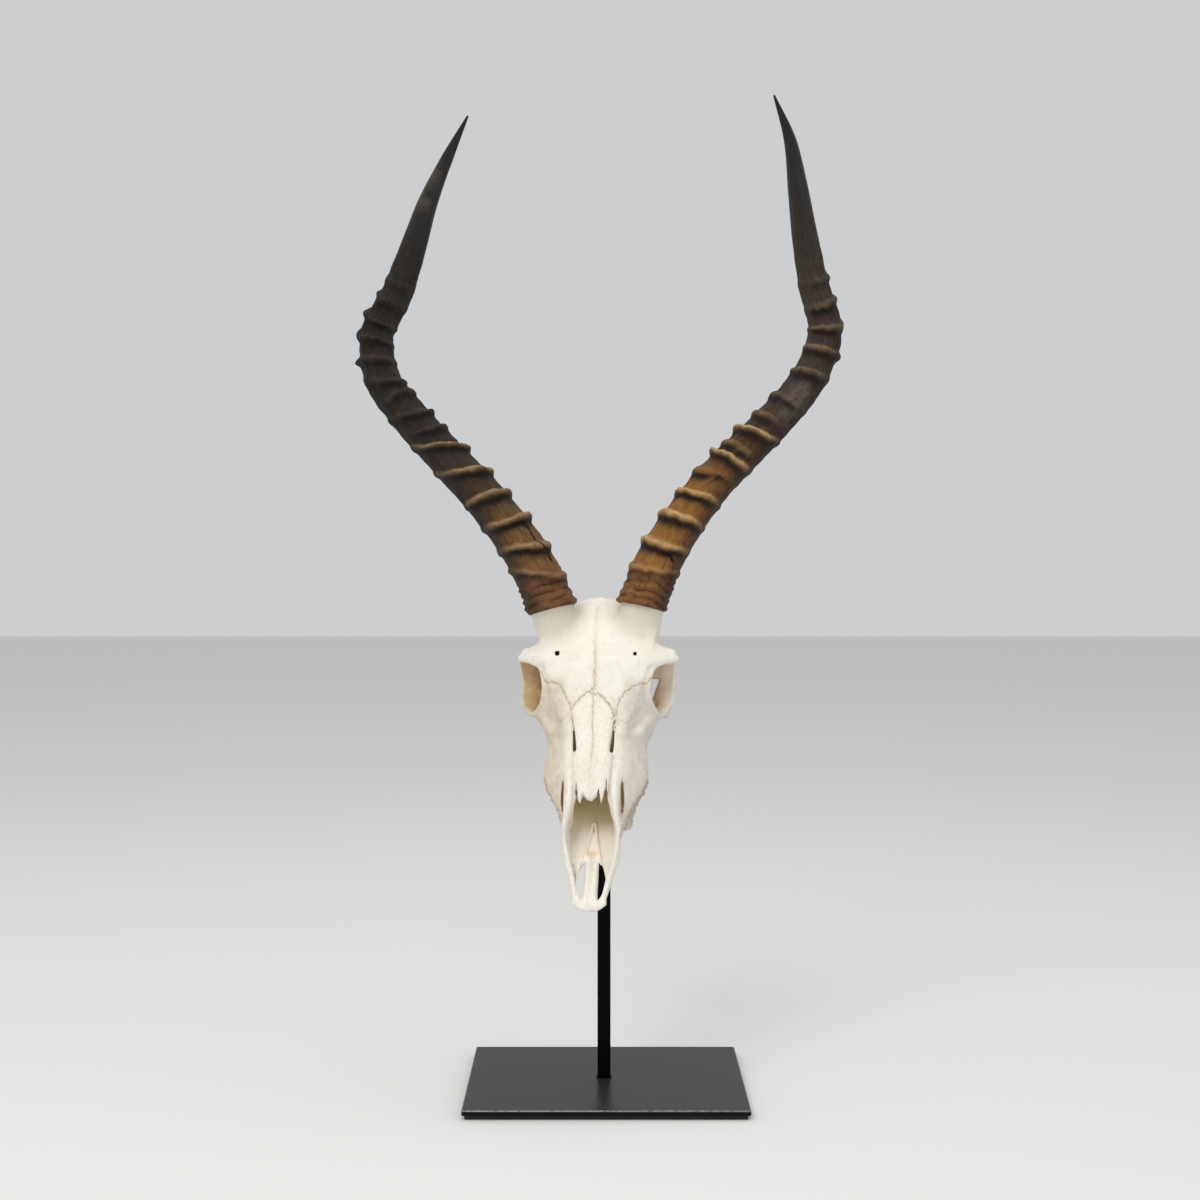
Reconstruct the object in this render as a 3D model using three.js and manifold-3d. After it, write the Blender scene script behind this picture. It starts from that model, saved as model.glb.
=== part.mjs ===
// Impala skull with both horns, held nose down on a flat steel stand. Millimetres, +Z up.
// The face looks along -Y, the viewer's right is +X, and the origin is under the middle of the base.
import * as THREE from 'three';
import { mergeVertices } from 'three/addons/utils/BufferGeometryUtils.js';
import Module from 'manifold-3d';

const wasm = await Module();
wasm.setup();

// Stand
const plateWidth = 200;
const plateDepth = 150;
const plateThickness = 4;
const padThickness = 3;
const padInset = 2;
const postSide = 9.5;
const postX = -1.3;
const postTop = 331;
const weldSize = 2.5;
const gap = 0.3;

// Skull pose: the palate leans back from upright, and the nose turns a little to -X.
const palateLean = THREE.MathUtils.degToRad(38);
const noseTurn = THREE.MathUtils.degToRad(-6);
const noseTip = new THREE.Vector3(-11.75, -99.45, 146.4);

// Skull sizes. "a" runs from the nose tip along the palate, "h" rises from the palate, "x" is sideways.
const faceStart = 60;
const faceEnd = 206;
const toothRowStart = 70;
const toothRowEnd = 147;
const crownHeight = 8;
const socketClearance = 0.35;

// Horns: middle line from base to tip, in the object's own frame.
const leftHornLine = [
  [-38, -38, 351], [-52, -35, 382], [-71, -29, 410], [-93, -20, 436], [-118, -10, 462], [-142, 2, 488],
  [-164, 12, 517], [-170, 21, 552], [-155, 22, 584], [-143, 19, 617], [-131, 12, 650], [-116, 2, 680],
  [-100, -10, 708],
];
const rightHornLine = [
  [25, -38, 353], [38, -35, 385], [56, -29, 414], [77, -20, 441], [102, -10, 466], [128, 2, 492],
  [151, 12, 521], [163, 21, 555], [155, 22, 590], [148, 19, 625], [142, 12, 660], [135, 2, 693],
  [122, -10, 723],
];
const leftHornRings = [0.067, 0.119, 0.169, 0.225, 0.285, 0.352, 0.425, 0.5, 0.537, 0.57, 0.61, 0.645, 0.68];
const rightHornRings = [0.07, 0.115, 0.16, 0.222, 0.29, 0.35, 0.445, 0.51, 0.55, 0.6, 0.635, 0.675];
const leftHornRadius = [[0, 18.6], [0.08, 17.4], [0.33, 15.4], [0.5, 14.3], [0.67, 11.8], [0.83, 7.3], [1, 1]];
const rightHornRadius = [[0, 18.6], [0.08, 17.4], [0.33, 15.2], [0.58, 13.8], [0.75, 11.2], [0.9, 6.6], [1, 1]];
const ringHeight = 2.8;
const tipRows = 9;
const hornSides = 12;
const coreEnd = 0.3;
const coreWall = 4.2;

const bone = { color: 0xefe8d8, roughness: 0.75, metalness: 0 };
const enamel = { color: 0xd8c49a, roughness: 0.4, metalness: 0 };
const darkHorn = { color: 0x4a3a2c, roughness: 0.55, metalness: 0 };
const brownHorn = { color: 0x7a5430, roughness: 0.55, metalness: 0 };
const blackSteel = { color: 0x1b1b1d, roughness: 0.45, metalness: 0.3 };
const blackRubber = { color: 0x111111, roughness: 0.9, metalness: 0 };

const object = new THREE.Group();

// Closed geometry to solid, with shared corners and its faces pointing out.
function solid(geometry) {
  const plain = geometry.index ? geometry.toNonIndexed() : geometry.clone();
  plain.deleteAttribute('normal');
  plain.deleteAttribute('uv');
  const merged = mergeVertices(plain, 1e-4);
  const vertProperties = new Float32Array(merged.attributes.position.array);
  const triVerts = new Uint32Array(merged.index.array);
  const shape = new wasm.Manifold(new wasm.Mesh({ numProp: 3, vertProperties, triVerts }));
  if (shape.volume() > 0) {
    return shape;
  }
  triVerts.reverse();
  return new wasm.Manifold(new wasm.Mesh({ numProp: 3, vertProperties, triVerts }));
}

function addPiece(name, shape, finish) {
  const mesh = shape.getMesh();
  const geometry = new THREE.BufferGeometry();
  geometry.setAttribute('position', new THREE.BufferAttribute(new Float32Array(mesh.vertProperties), 3));
  geometry.setIndex(new THREE.BufferAttribute(new Uint32Array(mesh.triVerts), 1));
  geometry.computeVertexNormals();
  const piece = new THREE.Mesh(geometry, new THREE.MeshStandardMaterial(finish));
  piece.name = name;
  object.add(piece);
}

// Straight-line reading of a list of [place, value] pairs.
function read(pairs, at) {
  if (at <= pairs[0][0]) {
    return pairs[0][1];
  }
  for (let i = 1; i < pairs.length; i += 1) {
    const [end, endValue] = pairs[i];
    const [start, startValue] = pairs[i - 1];
    if (at <= end) {
      return startValue + ((endValue - startValue) * (at - start)) / (end - start);
    }
  }
  return pairs[pairs.length - 1][1];
}

// Moves every corner of a geometry to the place that a function gives.
function mapped(geometry, place) {
  const corners = geometry.attributes.position;
  const corner = new THREE.Vector3();
  for (let i = 0; i < corners.count; i += 1) {
    corner.fromBufferAttribute(corners, i);
    const moved = place(corner);
    corners.setXYZ(i, moved.x, moved.y, moved.z);
  }
  return solid(geometry);
}

// A capped tube: place(along 0-1, sideways, forward) gives each corner, both on a unit circle.
function tube(sides, rows, place, phase = 0.2) {
  const cylinder = new THREE.CylinderGeometry(1, 1, 1, sides, rows, false, phase);
  return mapped(cylinder, (p) => place(p.y + 0.5, p.x, p.z));
}

// ---- Stand: a plate on a thin pad, and a square bar welded upright at its middle.

function roundedPlate(width, depth, thickness, bottom, corner) {
  const outline = new THREE.Shape();
  const x = width / 2;
  const y = depth / 2;
  outline.moveTo(-x + corner, -y);
  outline.lineTo(x - corner, -y);
  outline.absarc(x - corner, -y + corner, corner, -Math.PI / 2, 0, false);
  outline.lineTo(x, y - corner);
  outline.absarc(x - corner, y - corner, corner, 0, Math.PI / 2, false);
  outline.lineTo(-x + corner, y);
  outline.absarc(-x + corner, y - corner, corner, Math.PI / 2, Math.PI, false);
  outline.lineTo(-x, -y + corner);
  outline.absarc(-x + corner, -y + corner, corner, Math.PI, Math.PI * 1.5, false);
  const plate = new THREE.ExtrudeGeometry(outline, { depth: thickness, bevelEnabled: false, curveSegments: 3 });
  plate.translate(0, 0, bottom);
  return solid(plate);
}

const plateTop = padThickness + plateThickness;
const padWidth = plateWidth - 2 * padInset;
const padDepth = plateDepth - 2 * padInset;
addPiece('base_pad', roundedPlate(padWidth, padDepth, padThickness - gap, 0, 1.5), blackRubber);
addPiece('base_plate', roundedPlate(plateWidth, plateDepth, plateThickness, padThickness, 1.5), blackSteel);

function postShape(side, bottom, top) {
  const bar = new THREE.BoxGeometry(side, side, top - bottom);
  bar.translate(postX, 0, (bottom + top) / 2);
  return solid(bar);
}

// The weld is a low four-sided skirt round the foot of the bar.
const weld = tube(4, 1, (along, side, forward) => {
  const reach = (postSide / 2 + weldSize * (1 - along)) * Math.SQRT2;
  return new THREE.Vector3(postX + side * reach, -forward * reach, plateTop + gap + along * weldSize);
}, Math.PI / 4);
addPiece('post', postShape(postSide, plateTop + gap, postTop).add(weld), blackSteel);

// ---- Horns

function hornShape(line, rings, radius, mirror) {
  const curve = new THREE.CatmullRomCurve3(line.map((p) => new THREE.Vector3(...p)));
  const front = new THREE.Vector3(0, -1, 0);

  const frameAt = (t) => {
    const held = THREE.MathUtils.clamp(t, 0, 1);
    const centre = curve.getPoint(held);
    const along = curve.getTangent(held);
    const side = new THREE.Vector3().crossVectors(along, front).normalize();
    const forward = new THREE.Vector3().crossVectors(side, along);
    return { centre, along, side, forward, held };
  };

  // Rings stand out most on the inner front low down, and on the outer front above the bend.
  const ringLift = (t, side, forward) => {
    const strongSide = mirror * (0.8 - 1.5 * THREE.MathUtils.smoothstep(t, 0.35, 0.6));
    const facing = side * Math.sin(strongSide) + forward * Math.cos(strongSide);
    const nearest = Math.min(...rings.map((ring) => Math.abs(ring - t)));
    const crest = Math.exp(-((nearest / 0.011) ** 2));
    const fade = 1 - THREE.MathUtils.smoothstep(t, 0.66, 0.74);
    return ringHeight * crest * fade * (0.45 + 0.55 * Math.max(0, facing));
  };

  // The rings lie at a slant: their inner end is nearer the base below the bend.
  const slant = (t) => -mirror * (0.4 - 0.5 * THREE.MathUtils.smoothstep(t, 0.4, 0.6));

  const length = curve.getLength();
  const surface = (t, side, forward, lift) => {
    const { centre, along, side: sideways, forward: toFront, held } = frameAt(t);
    const r = read(radius, held) + lift * Math.hypot(side, forward);
    const oval = 1.14 - 0.14 * held;
    const shift = slant(t) * side * r;
    return centre
      .addScaledVector(sideways, side * r)
      .addScaledVector(toFront, forward * r * oval)
      .addScaledVector(along, shift * (1 - held));
  };

  // Rows of corners: three at each ring, one between rings, then even steps to the tip.
  const rows = [0, 0.025];
  rings.forEach((ring, i) => {
    const next = rings[i + 1] ?? ring + 0.05;
    rows.push(ring - 0.014, ring, ring + 0.014, (ring + next) / 2);
  });
  const smoothStart = rows[rows.length - 1];
  for (let i = 1; i <= tipRows; i += 1) {
    rows.push(smoothStart + ((1 - smoothStart) * i) / tipRows);
  }
  const sheath = tube(hornSides, rows.length - 1, (along, side, forward) => {
    const t = rows[Math.round(along * (rows.length - 1))];
    return surface(t, side, forward, ringLift(t, side, forward));
  });

  // The bony core fills the lower part of the sheath; it tapers to a blunt point.
  const inside = (clearance, start) => tube(10, 7, (along, side, forward) => {
    const t = start + along * (coreEnd + clearance / length - start);
    const taper = Math.sqrt(Math.max(0.02, 1 - (Math.max(0, t) / (coreEnd + 0.02)) ** 2));
    const r = (read(radius, Math.max(0, t)) - coreWall) * taper + clearance;
    const { centre, along: axis, side: sideways, forward: toFront } = frameAt(t);
    return centre
      .addScaledVector(sideways, side * r)
      .addScaledVector(toFront, forward * r * 1.1)
      .addScaledVector(axis, Math.min(0, t) * length);
  });

  return { sheath: sheath.subtract(inside(0.5, -0.06)), core: inside(0, -0.03), frameAt };
}

const leftHorn = hornShape(leftHornLine, leftHornRings, leftHornRadius, 1);
const rightHorn = hornShape(rightHornLine, rightHornRings, rightHornRadius, -1);
addPiece('left_horn', leftHorn.sheath, darkHorn);
addPiece('right_horn', rightHorn.sheath, brownHorn);

// ---- Skull

const lean = new THREE.Matrix4().makeRotationX(-palateLean);
const turn = new THREE.Matrix4().makeRotationZ(noseTurn);
const skullPose = turn.multiply(lean).setPosition(noseTip);

// From the skull's own directions to the object's frame.
function skullPoint(x, h, a) {
  return new THREE.Vector3(x, -h, a).applyMatrix4(skullPose);
}

function ellipsoid(x, h, a, width, height, length, segments = 14) {
  const ball = new THREE.SphereGeometry(1, segments, Math.round(segments * 0.6), 0.13);
  return mapped(ball, (p) => skullPoint(x + p.x * width, h + p.y * height, a - p.z * length));
}

// A tapering rod through a few [x, h, a, half width, half height] stations.
function rod(stations, sides, rows) {
  const curve = new THREE.CatmullRomCurve3(stations.map(([x, h, a]) => new THREE.Vector3(x, h, a)));
  const last = stations.length - 1;
  return tube(sides, rows, (along, side, forward) => {
    const centre = curve.getPoint(along);
    const direction = curve.getTangent(along);
    const up = new THREE.Vector3(0, 1, 0);
    const sideways = new THREE.Vector3().crossVectors(up, direction).normalize();
    const upright = new THREE.Vector3().crossVectors(direction, sideways);
    const width = read(stations.map((s, i) => [i / last, s[3]]), along);
    const height = read(stations.map((s, i) => [i / last, s[4]]), along);
    const p = centre.addScaledVector(sideways, side * width).addScaledVector(upright, forward * height);
    return skullPoint(p.x, p.y, p.z);
  });
}

// The face: wide at the tooth rows, narrow along the nose, broad between the eyes.
const faceTop = [[60, 37], [72, 43], [100, 53], [138, 61], [155, 68], [172, 74], [190, 76], [206, 72]];
const faceBottom = [[60, 1], [150, 0], [160, 10], [206, 18]];
const bottomWidth = [[60, 22], [72, 28], [86, 33], [115, 35], [127, 36.5], [136, 45], [142, 38], [156, 25], [206, 28]];
const topWidth = [[60, 10], [100, 15], [122, 19], [136, 42], [142, 43], [170, 43], [190, 41], [206, 30]];
const cheekLevel = 0.45;
const face = tube(20, 14, (along, side, forward) => {
  const a = faceStart + along * (faceEnd - faceStart);
  const up = Math.sign(forward) * Math.abs(forward) ** 0.8;
  const out = Math.sign(side) * Math.abs(side) ** 0.6;
  const level = (up + 1) / 2;
  const width = THREE.MathUtils.lerp(read(bottomWidth, a), read(topWidth, a), Math.max(0, level - cheekLevel)
    / (1 - cheekLevel));
  const h = read(faceBottom, a) + (read(faceTop, a) - read(faceBottom, a)) * level;
  return skullPoint(out * width, h, a);
});

const noseCavity = rod([[0, 22, 50, 16, 13], [0, 26, 68, 16, 16], [0, 30, 100, 12, 17], [0, 26, 135, 9, 12],
  [0, 14, 166, 8, 8], [0, 12, 176, 8, 8]], 10, 8);
const noseMouth = rod([[0, 36, 44, 12, 16], [0, 44, 70, 11, 8]], 10, 2);
const palateVault = ellipsoid(0, -5, 112, 17, 10, 46, 12);

const foreheadRoof = rod([[0, 54, 126, 24, 4], [0, 58, 138, 43, 5], [0, 64.5, 158, 43, 5], [0, 70, 188, 42, 6]], 16, 4);
const brainCase = ellipsoid(0, 42, 201, 33, 31, 33, 16);

let skull = face.add(brainCase);
skull = skull.subtract(noseCavity);
skull = skull.subtract(palateVault);

for (const side of [-1, 1]) {
  const brow = ellipsoid(side * 41, 61, 169, 16.5, 7, 11, 10);
  const orbit = ellipsoid(side * 46, 44, 153, 22, 16.5, 17, 12);
  const templeHollow = ellipsoid(side * 46, 36, 190, 12, 24, 22, 10);
  const noseSlit = ellipsoid(side * 14.5, 54, 104, 0.9, 6, 9, 6);
  skull = skull.add(brow).subtract(orbit).subtract(templeHollow).subtract(noseSlit);

  // Eye socket rim, a closed ring through the brow, the bar behind the eye and the cheekbone.
  const rimLine = new THREE.CatmullRomCurve3([[39.5, 65, 150], [50, 62, 166], [55.5, 56, 173], [54.5, 42, 169],
    [53, 31, 155], [50, 33, 140], [42, 45, 134], [38, 58, 138]].map((p) => new THREE.Vector3(...p)), true);
  const rim = mapped(new THREE.TorusGeometry(1, 0.25, 6, 20), (p) => {
    const turnAround = (Math.atan2(p.y, p.x) / (2 * Math.PI) + 1) % 1;
    const centre = rimLine.getPoint(turnAround);
    const outward = new THREE.Vector3(0, centre.y - 48, centre.z - 153).normalize();
    const rise = (Math.hypot(p.x, p.y) - 1) * 4 * 2.6;
    return skullPoint(side * (centre.x - p.z * 4 * 3.4), centre.y + outward.y * rise, centre.z + outward.z * rise);
  });
  const cheekArch = rod([[side * 50, 31, 140, 3, 6], [side * 54, 27, 158, 2.6, 5], [side * 52, 24, 180, 2.6, 4.5],
    [side * 43, 26, 203, 4, 5], [side * 30, 30, 212, 6, 7]], 6, 7);
  const toothRidge = rod([[side * 21.5, 4, 64, 4, 4.4], [side * 26.5, 4, 110, 6, 4.4], [side * 27, 4, 151, 6, 4.4]], 8, 4);
  const socketFloor = rod([[side * 47, 31, 137, 6, 3], [side * 48.5, 27, 152, 6, 2.6], [side * 49, 31, 167, 6, 3]], 6, 3);
  const noseBar = rod([[side * 4, 5, 4, 4, 3.5], [side * 11.2, 7, 14, 2.8, 4.5], [side * 14, 11, 32, 2.7, 6],
    [side * 18.5, 19, 52, 2.8, 9], [side * 20.5, 27, 70, 3.4, 11]], 8, 6);
  const wing = rod([[side * 11, 10, 143, 1.8, 8], [side * 11, 11, 166, 1.8, 9], [side * 11, 17, 184, 2.4, 8]], 6, 2);
  const bulla = ellipsoid(side * 21, 14, 205, 7, 9, 10, 8);
  const condyle = ellipsoid(side * 11, 18, 230, 6.5, 8, 7, 8);
  const sidePeg = rod([[side * 25, 22, 216, 4, 6], [side * 24, 6, 221, 3, 4], [side * 23, -4, 222, 1.2, 1.6]], 6, 3);
  skull = skull.add(rim).add(cheekArch).add(toothRidge).add(socketFloor).add(noseBar).add(wing);
  skull = skull.add(bulla).add(condyle).add(sidePeg);
}

// Palate plate with the two long slots beside the middle bar, and the blunt nose tip.
const palatePlate = rod([[0, 2.6, 36, 15, 2.4], [0, 3, 62, 20, 2.6], [0, 4, 100, 20, 3.4]], 10, 4);
const skullBase = rod([[0, 14, 168, 13, 7], [0, 17, 200, 15, 7], [0, 22, 227, 15, 8]], 10, 3);
const middleBar = rod([[0, 4, 2, 5, 3], [0, 4.4, 24, 4.6, 2.4], [0, 4, 48, 6, 2.8]], 8, 3);
const noseEnd = ellipsoid(0, 5, 6, 12.4, 4.2, 6, 12);
skull = skull.add(palatePlate).add(middleBar).add(noseEnd).add(skullBase);
skull = skull.add(foreheadRoof).subtract(noseMouth);
for (const side of [-1, 1]) {
  skull = skull.subtract(ellipsoid(side * 27.3, 74, 165, 1.8, 8, 1.8, 6));
}

// The brain opening at the back, and the hole drilled for the post.
skull = skull.subtract(rod([[0, 26, 214, 8, 8], [0, 24, 244, 8, 8]], 10, 1));
skull = skull.subtract(postShape(postSide + 2 * socketClearance, 200, postTop + gap));

// Stumps that carry the horns, and the bony cores inside the sheaths.
function stump(horn, side) {
  const { centre, along } = horn.frameAt(0);
  const foot = skullPoint(side * 24, 56, 186);
  const top = centre.clone().addScaledVector(along, -4);
  const middle = foot.clone().lerp(top, 0.5);
  const curve = new THREE.CatmullRomCurve3([foot, middle, top]);
  return tube(12, 2, (t, sideways, forward) => {
    const r = 17.5 - 1.2 * t;
    return curve.getPoint(t).add(new THREE.Vector3(sideways * r, -forward * r * 1.1, 0.25 * sideways * r * side));
  });
}
skull = skull.add(stump(leftHorn, -1)).add(leftHorn.core);
skull = skull.add(stump(rightHorn, 1)).add(rightHorn.core);
skull = skull.subtract(leftHorn.sheath).subtract(rightHorn.sheath);
addPiece('skull', skull, bone);

// ---- Upper cheek teeth: three small ones in front and three long ones behind, on each side.
const toothLengths = [9, 11, 11.5, 14, 15.5, 15];
const rowLength = toothRowEnd - toothRowStart;
const spare = rowLength - toothLengths.reduce((sum, length) => sum + length, 0);
for (const [sideName, side] of [['left', -1], ['right', 1]]) {
  let a = toothRowStart;
  toothLengths.forEach((length, i) => {
    const middle = a + length / 2;
    const x = side * read([[toothRowStart, 21.5], [110, 26.5], [toothRowEnd, 27]], middle);
    const half = length / 2 - 0.2;
    const width = i < 3 ? 4 + i * 0.7 : 6.2;
    const crown = new THREE.BoxGeometry(1, 1, 1, 2, 1, 2);
    const tooth = mapped(crown, (p) => {
      const waist = p.y > 0 ? 0.86 : 1;
      const notch = p.y < 0 && Math.abs(p.x) < 0.1 ? 2.2 : 0;
      return skullPoint(x + p.x * 2 * width * waist, -gap - 0.4 + (p.y - 0.5) * crownHeight + notch,
        middle - p.z * 2 * half * (p.y > 0 ? 0.92 : 1));
    });
    addPiece(`${sideName}_tooth_${i + 1}`, tooth, enamel);
    a += length + spare / (toothLengths.length - 1);
  });
}

export default object;
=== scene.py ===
import math

import bmesh
import bpy
import numpy as np
import openvdb
from mathutils import Matrix, Vector


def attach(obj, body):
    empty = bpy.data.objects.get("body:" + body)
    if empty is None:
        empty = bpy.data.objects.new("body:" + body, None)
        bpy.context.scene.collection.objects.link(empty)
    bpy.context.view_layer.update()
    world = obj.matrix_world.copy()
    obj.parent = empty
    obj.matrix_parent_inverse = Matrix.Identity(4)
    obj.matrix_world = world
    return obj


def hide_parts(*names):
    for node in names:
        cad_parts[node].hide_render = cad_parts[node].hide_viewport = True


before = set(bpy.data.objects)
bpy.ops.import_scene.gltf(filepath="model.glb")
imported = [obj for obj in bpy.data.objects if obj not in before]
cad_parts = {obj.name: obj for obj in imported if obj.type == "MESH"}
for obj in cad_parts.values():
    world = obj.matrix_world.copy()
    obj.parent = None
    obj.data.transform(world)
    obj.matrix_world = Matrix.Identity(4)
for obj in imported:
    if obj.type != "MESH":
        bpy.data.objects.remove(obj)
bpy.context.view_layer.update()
mm = 0.001
fullTurn = 6.28  # radians, rounded


class Wire:  # one shader value that + - * work on
    def __init__(self, finish, socket):
        self.finish = finish
        self.socket = socket

    def math(self, operation, *others):
        values = {index: other for index, other in enumerate((self,) + others)}
        return self.finish.node("ShaderNodeMath", {"operation": operation}, values)

    def __add__(self, other):
        return self.math("ADD", other)

    def __sub__(self, other):
        return self.math("SUBTRACT", other)

    def __mul__(self, other):
        return self.math("MULTIPLY", other)

    def __radd__(self, other):
        return self.math("ADD", other)

    def __rmul__(self, other):
        return self.math("MULTIPLY", other)

    def __rsub__(self, other):
        return self.finish.node("ShaderNodeMath", {"operation": "SUBTRACT"}, {0: other, 1: self})

    def size(self):
        return self.math("ABSOLUTE")

    def held(self):  # kept between 0 and 1
        return self.finish.node("ShaderNodeClamp", {}, {"Value": self})

    def smooth(self, low, high):  # eased from 0 at low to 1 at high
        if low > high:
            return 1 - self.smooth(high, low)
        return self.finish.node("ShaderNodeMapRange", {"interpolation_type": "SMOOTHSTEP"},
                                {"Value": self, "From Min": low, "From Max": high})


class Finish:  # a material and the nodes it is made from
    def __init__(self, name):
        self.material = bpy.data.materials.new(name)
        self.material.use_nodes = True
        self.tree = self.material.node_tree
        self.shader = self.tree.nodes["Principled BSDF"]

    def node(self, kind, settings, inputs, output=0):
        made = self.tree.nodes.new(kind)
        for key, value in settings.items():
            if key == "stops":
                stops = made.color_ramp.elements
                while len(stops) < len(value):
                    stops.new(0.5)
                for stop, (at, colour) in zip(stops, value):
                    stop.position = at
                    stop.color = (*colour, 1)
            else:
                setattr(made, key, value)
        self.plug(made.inputs, inputs)
        return Wire(self, made.outputs[output])

    def plug(self, sockets, values):
        for key, value in values.items():
            if isinstance(value, Wire):
                self.tree.links.new(value.socket, sockets[key])
            else:
                sockets[key].default_value = value

    def place(self):
        return self.node("ShaderNodeTexCoord", {}, {}, "Object")

    def stored(self, name, output="Fac"):
        return self.node("ShaderNodeAttribute", {"attribute_name": name}, {}, output)

    def stretched(self, place, scale):
        return self.node("ShaderNodeMapping", {}, {"Vector": place, "Scale": scale})

    def noise(self, place, scale, detail=3.0, rough=0.55):
        return self.node("ShaderNodeTexNoise", {}, {"Vector": place, "Scale": scale, "Detail": detail,
                                                    "Roughness": rough})

    def cells(self, place, scale):
        return self.node("ShaderNodeTexVoronoi", {}, {"Vector": place, "Scale": scale})

    def part(self, vector, axis):
        return self.node("ShaderNodeSeparateXYZ", {}, {"Vector": vector}, axis)

    def ramp(self, value, stops):
        return self.node("ShaderNodeValToRGB", {"stops": stops}, {"Fac": value})

    def blend(self, amount, first, second):
        first = first if isinstance(first, Wire) else (*first, 1)
        second = second if isinstance(second, Wire) else (*second, 1)
        return self.node("ShaderNodeMix", {"data_type": "RGBA"}, {0: amount, 6: first, 7: second}, 2)

    def bump(self, height, depth, strength):
        return self.node("ShaderNodeBump", {}, {"Height": height, "Distance": depth, "Strength": strength})

    def feed(self, values):
        self.plug(self.shader.inputs, values)
        return self.material


# Camera, level with the foot of the horns, and soft light from the front and above

cameraSet = {"place": (-0.0058, -1.25, 0.3978), "lens": 51.24, "sensor": 36, "shift": (0.0018, -0.0478),
             "clip": (0.05, 60)}

lens = bpy.data.cameras.new("camera")
lens.lens = cameraSet["lens"]
lens.sensor_width = cameraSet["sensor"]
lens.sensor_fit = "HORIZONTAL"
lens.shift_x, lens.shift_y = cameraSet["shift"]
lens.clip_start, lens.clip_end = cameraSet["clip"]
camera = bpy.data.objects.new("camera", lens)
camera.location = cameraSet["place"]
camera.rotation_euler = (math.pi / 2, 0, 0)
bpy.context.collection.objects.link(camera)
bpy.context.scene.camera = camera

lightSet = {
    "key": {"place": (-0.75, -1.5, 1.9), "aimHeight": 0.35, "width": 1.0, "power": 20.5,
            "tint": (1, 0.985, 0.96)},
    "top": {"place": (0.25, -0.25, 2.1), "aimHeight": 0.3, "width": 1.2, "power": 8, "tint": (1, 1, 1)},
    "fill": {"place": (1.5, -1.9, 0.8), "aimHeight": 0.4, "width": 1.4, "power": 4, "tint": (0.95, 0.97, 1)},
}
for name, light in lightSet.items():
    lamp = bpy.data.lights.new(name, "AREA")
    lamp.shape = "SQUARE"
    lamp.size = light["width"]
    lamp.energy = light["power"]
    lamp.color = light["tint"]
    holder = bpy.data.objects.new(name, lamp)
    holder.location = light["place"]
    aim = Vector((0, 0, light["aimHeight"])) - holder.location
    holder.rotation_euler = aim.to_track_quat("-Z", "Y").to_euler()
    bpy.context.collection.objects.link(holder)

worldSet = {"Color": (0.80, 0.81, 0.82, 1), "Strength": 0.76}
world = bpy.data.worlds.new("studio")
world.use_nodes = True
for key, value in worldSet.items():
    world.node_tree.nodes["Background"].inputs[key].default_value = value
bpy.context.scene.world = world
bpy.context.scene.view_settings.view_transform = "Standard"


def addPiece(name, mesh, replaced, finish):
    piece = bpy.data.objects.new(name, mesh)
    bpy.context.collection.objects.link(piece)
    mesh.materials.clear()
    mesh.materials.append(finish)
    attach(piece, "root")
    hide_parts(*replaced)
    return piece


def meshFrom(form, name, smoothBelow=0.0):  # faces of a smaller area than this are shaded smooth
    mesh = bpy.data.meshes.new(name)
    form.to_mesh(mesh)
    form.free()
    for face in mesh.polygons:
        face.use_smooth = face.area < smoothBelow
    return mesh


def writeForm(form, mesh):
    bmesh.ops.recalc_face_normals(form, faces=form.faces)
    form.to_mesh(mesh)
    form.free()


def shadeSmooth(mesh):
    mesh.polygons.foreach_set("use_smooth", np.ones(len(mesh.polygons), bool))
    return mesh


def readPoints(mesh, key="co"):
    flat = np.empty(len(mesh.vertices) * 3)
    mesh.vertices.foreach_get(key, flat)
    return flat.reshape(-1, 3)


def storeReadings(mesh, readings):  # one number or one place for each point of the mesh
    for key, values in readings.items():
        kind, field = ("FLOAT_VECTOR", "vector") if values.ndim == 2 else ("FLOAT", "value")
        layer = mesh.attributes.new(key, kind, "POINT")
        layer.data.foreach_set(field, values.astype(np.float32).ravel())


def eased(low, high, value):
    t = np.clip((value - low) / (high - low), 0, 1)
    return t * t * (3 - 2 * t)


def through(points, count):  # smooth line through points, count even steps from the first to the last
    points = np.array(points, float)
    padded = np.vstack([2 * points[0] - points[1], points, 2 * points[-1] - points[-2]])
    place = np.linspace(0, len(points) - 1, count)
    i = np.minimum(place.astype(int), len(points) - 2)
    t = (place - i)[:, None]
    before, start, end, after = (padded[i + k] for k in range(4))
    return 0.5 * (2 * start + (end - before) * t + (2 * before - 5 * start + 4 * end - after) * t ** 2
                  + (3 * start - before - 3 * end + after) * t ** 3)


def eddies(points, size, seed, layers=3):  # slow waves of height about -1 to 1, the same on every run
    chance = np.random.default_rng(seed)
    total = np.zeros(len(points))
    for layer in range(layers):
        for _ in range(7):
            direction = chance.normal(size=3)
            direction /= np.linalg.norm(direction)
            total += (np.sin(points @ direction * fullTurn / size * 2 ** layer * chance.uniform(0.7, 1.3)
                             + chance.uniform(0, fullTurn)) / 2 ** layer)
    return total / 4.5


# Stand

standSet = {"width": 200, "depth": 150, "thick": 4, "pad": 3, "inset": 2, "corner": 1.5, "edge": 0.9,
            "padEdge": 0.4, "post": 9.5, "postX": -1.3, "postTop": 331, "postCorner": 0.7, "postEdge": 0.5,
            "weld": 1.1, "weldSides": 96, "weldSteps": 7, "broadFace": 3e-4, "plateGloss": 0.13, "postGloss": 0.03}


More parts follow.
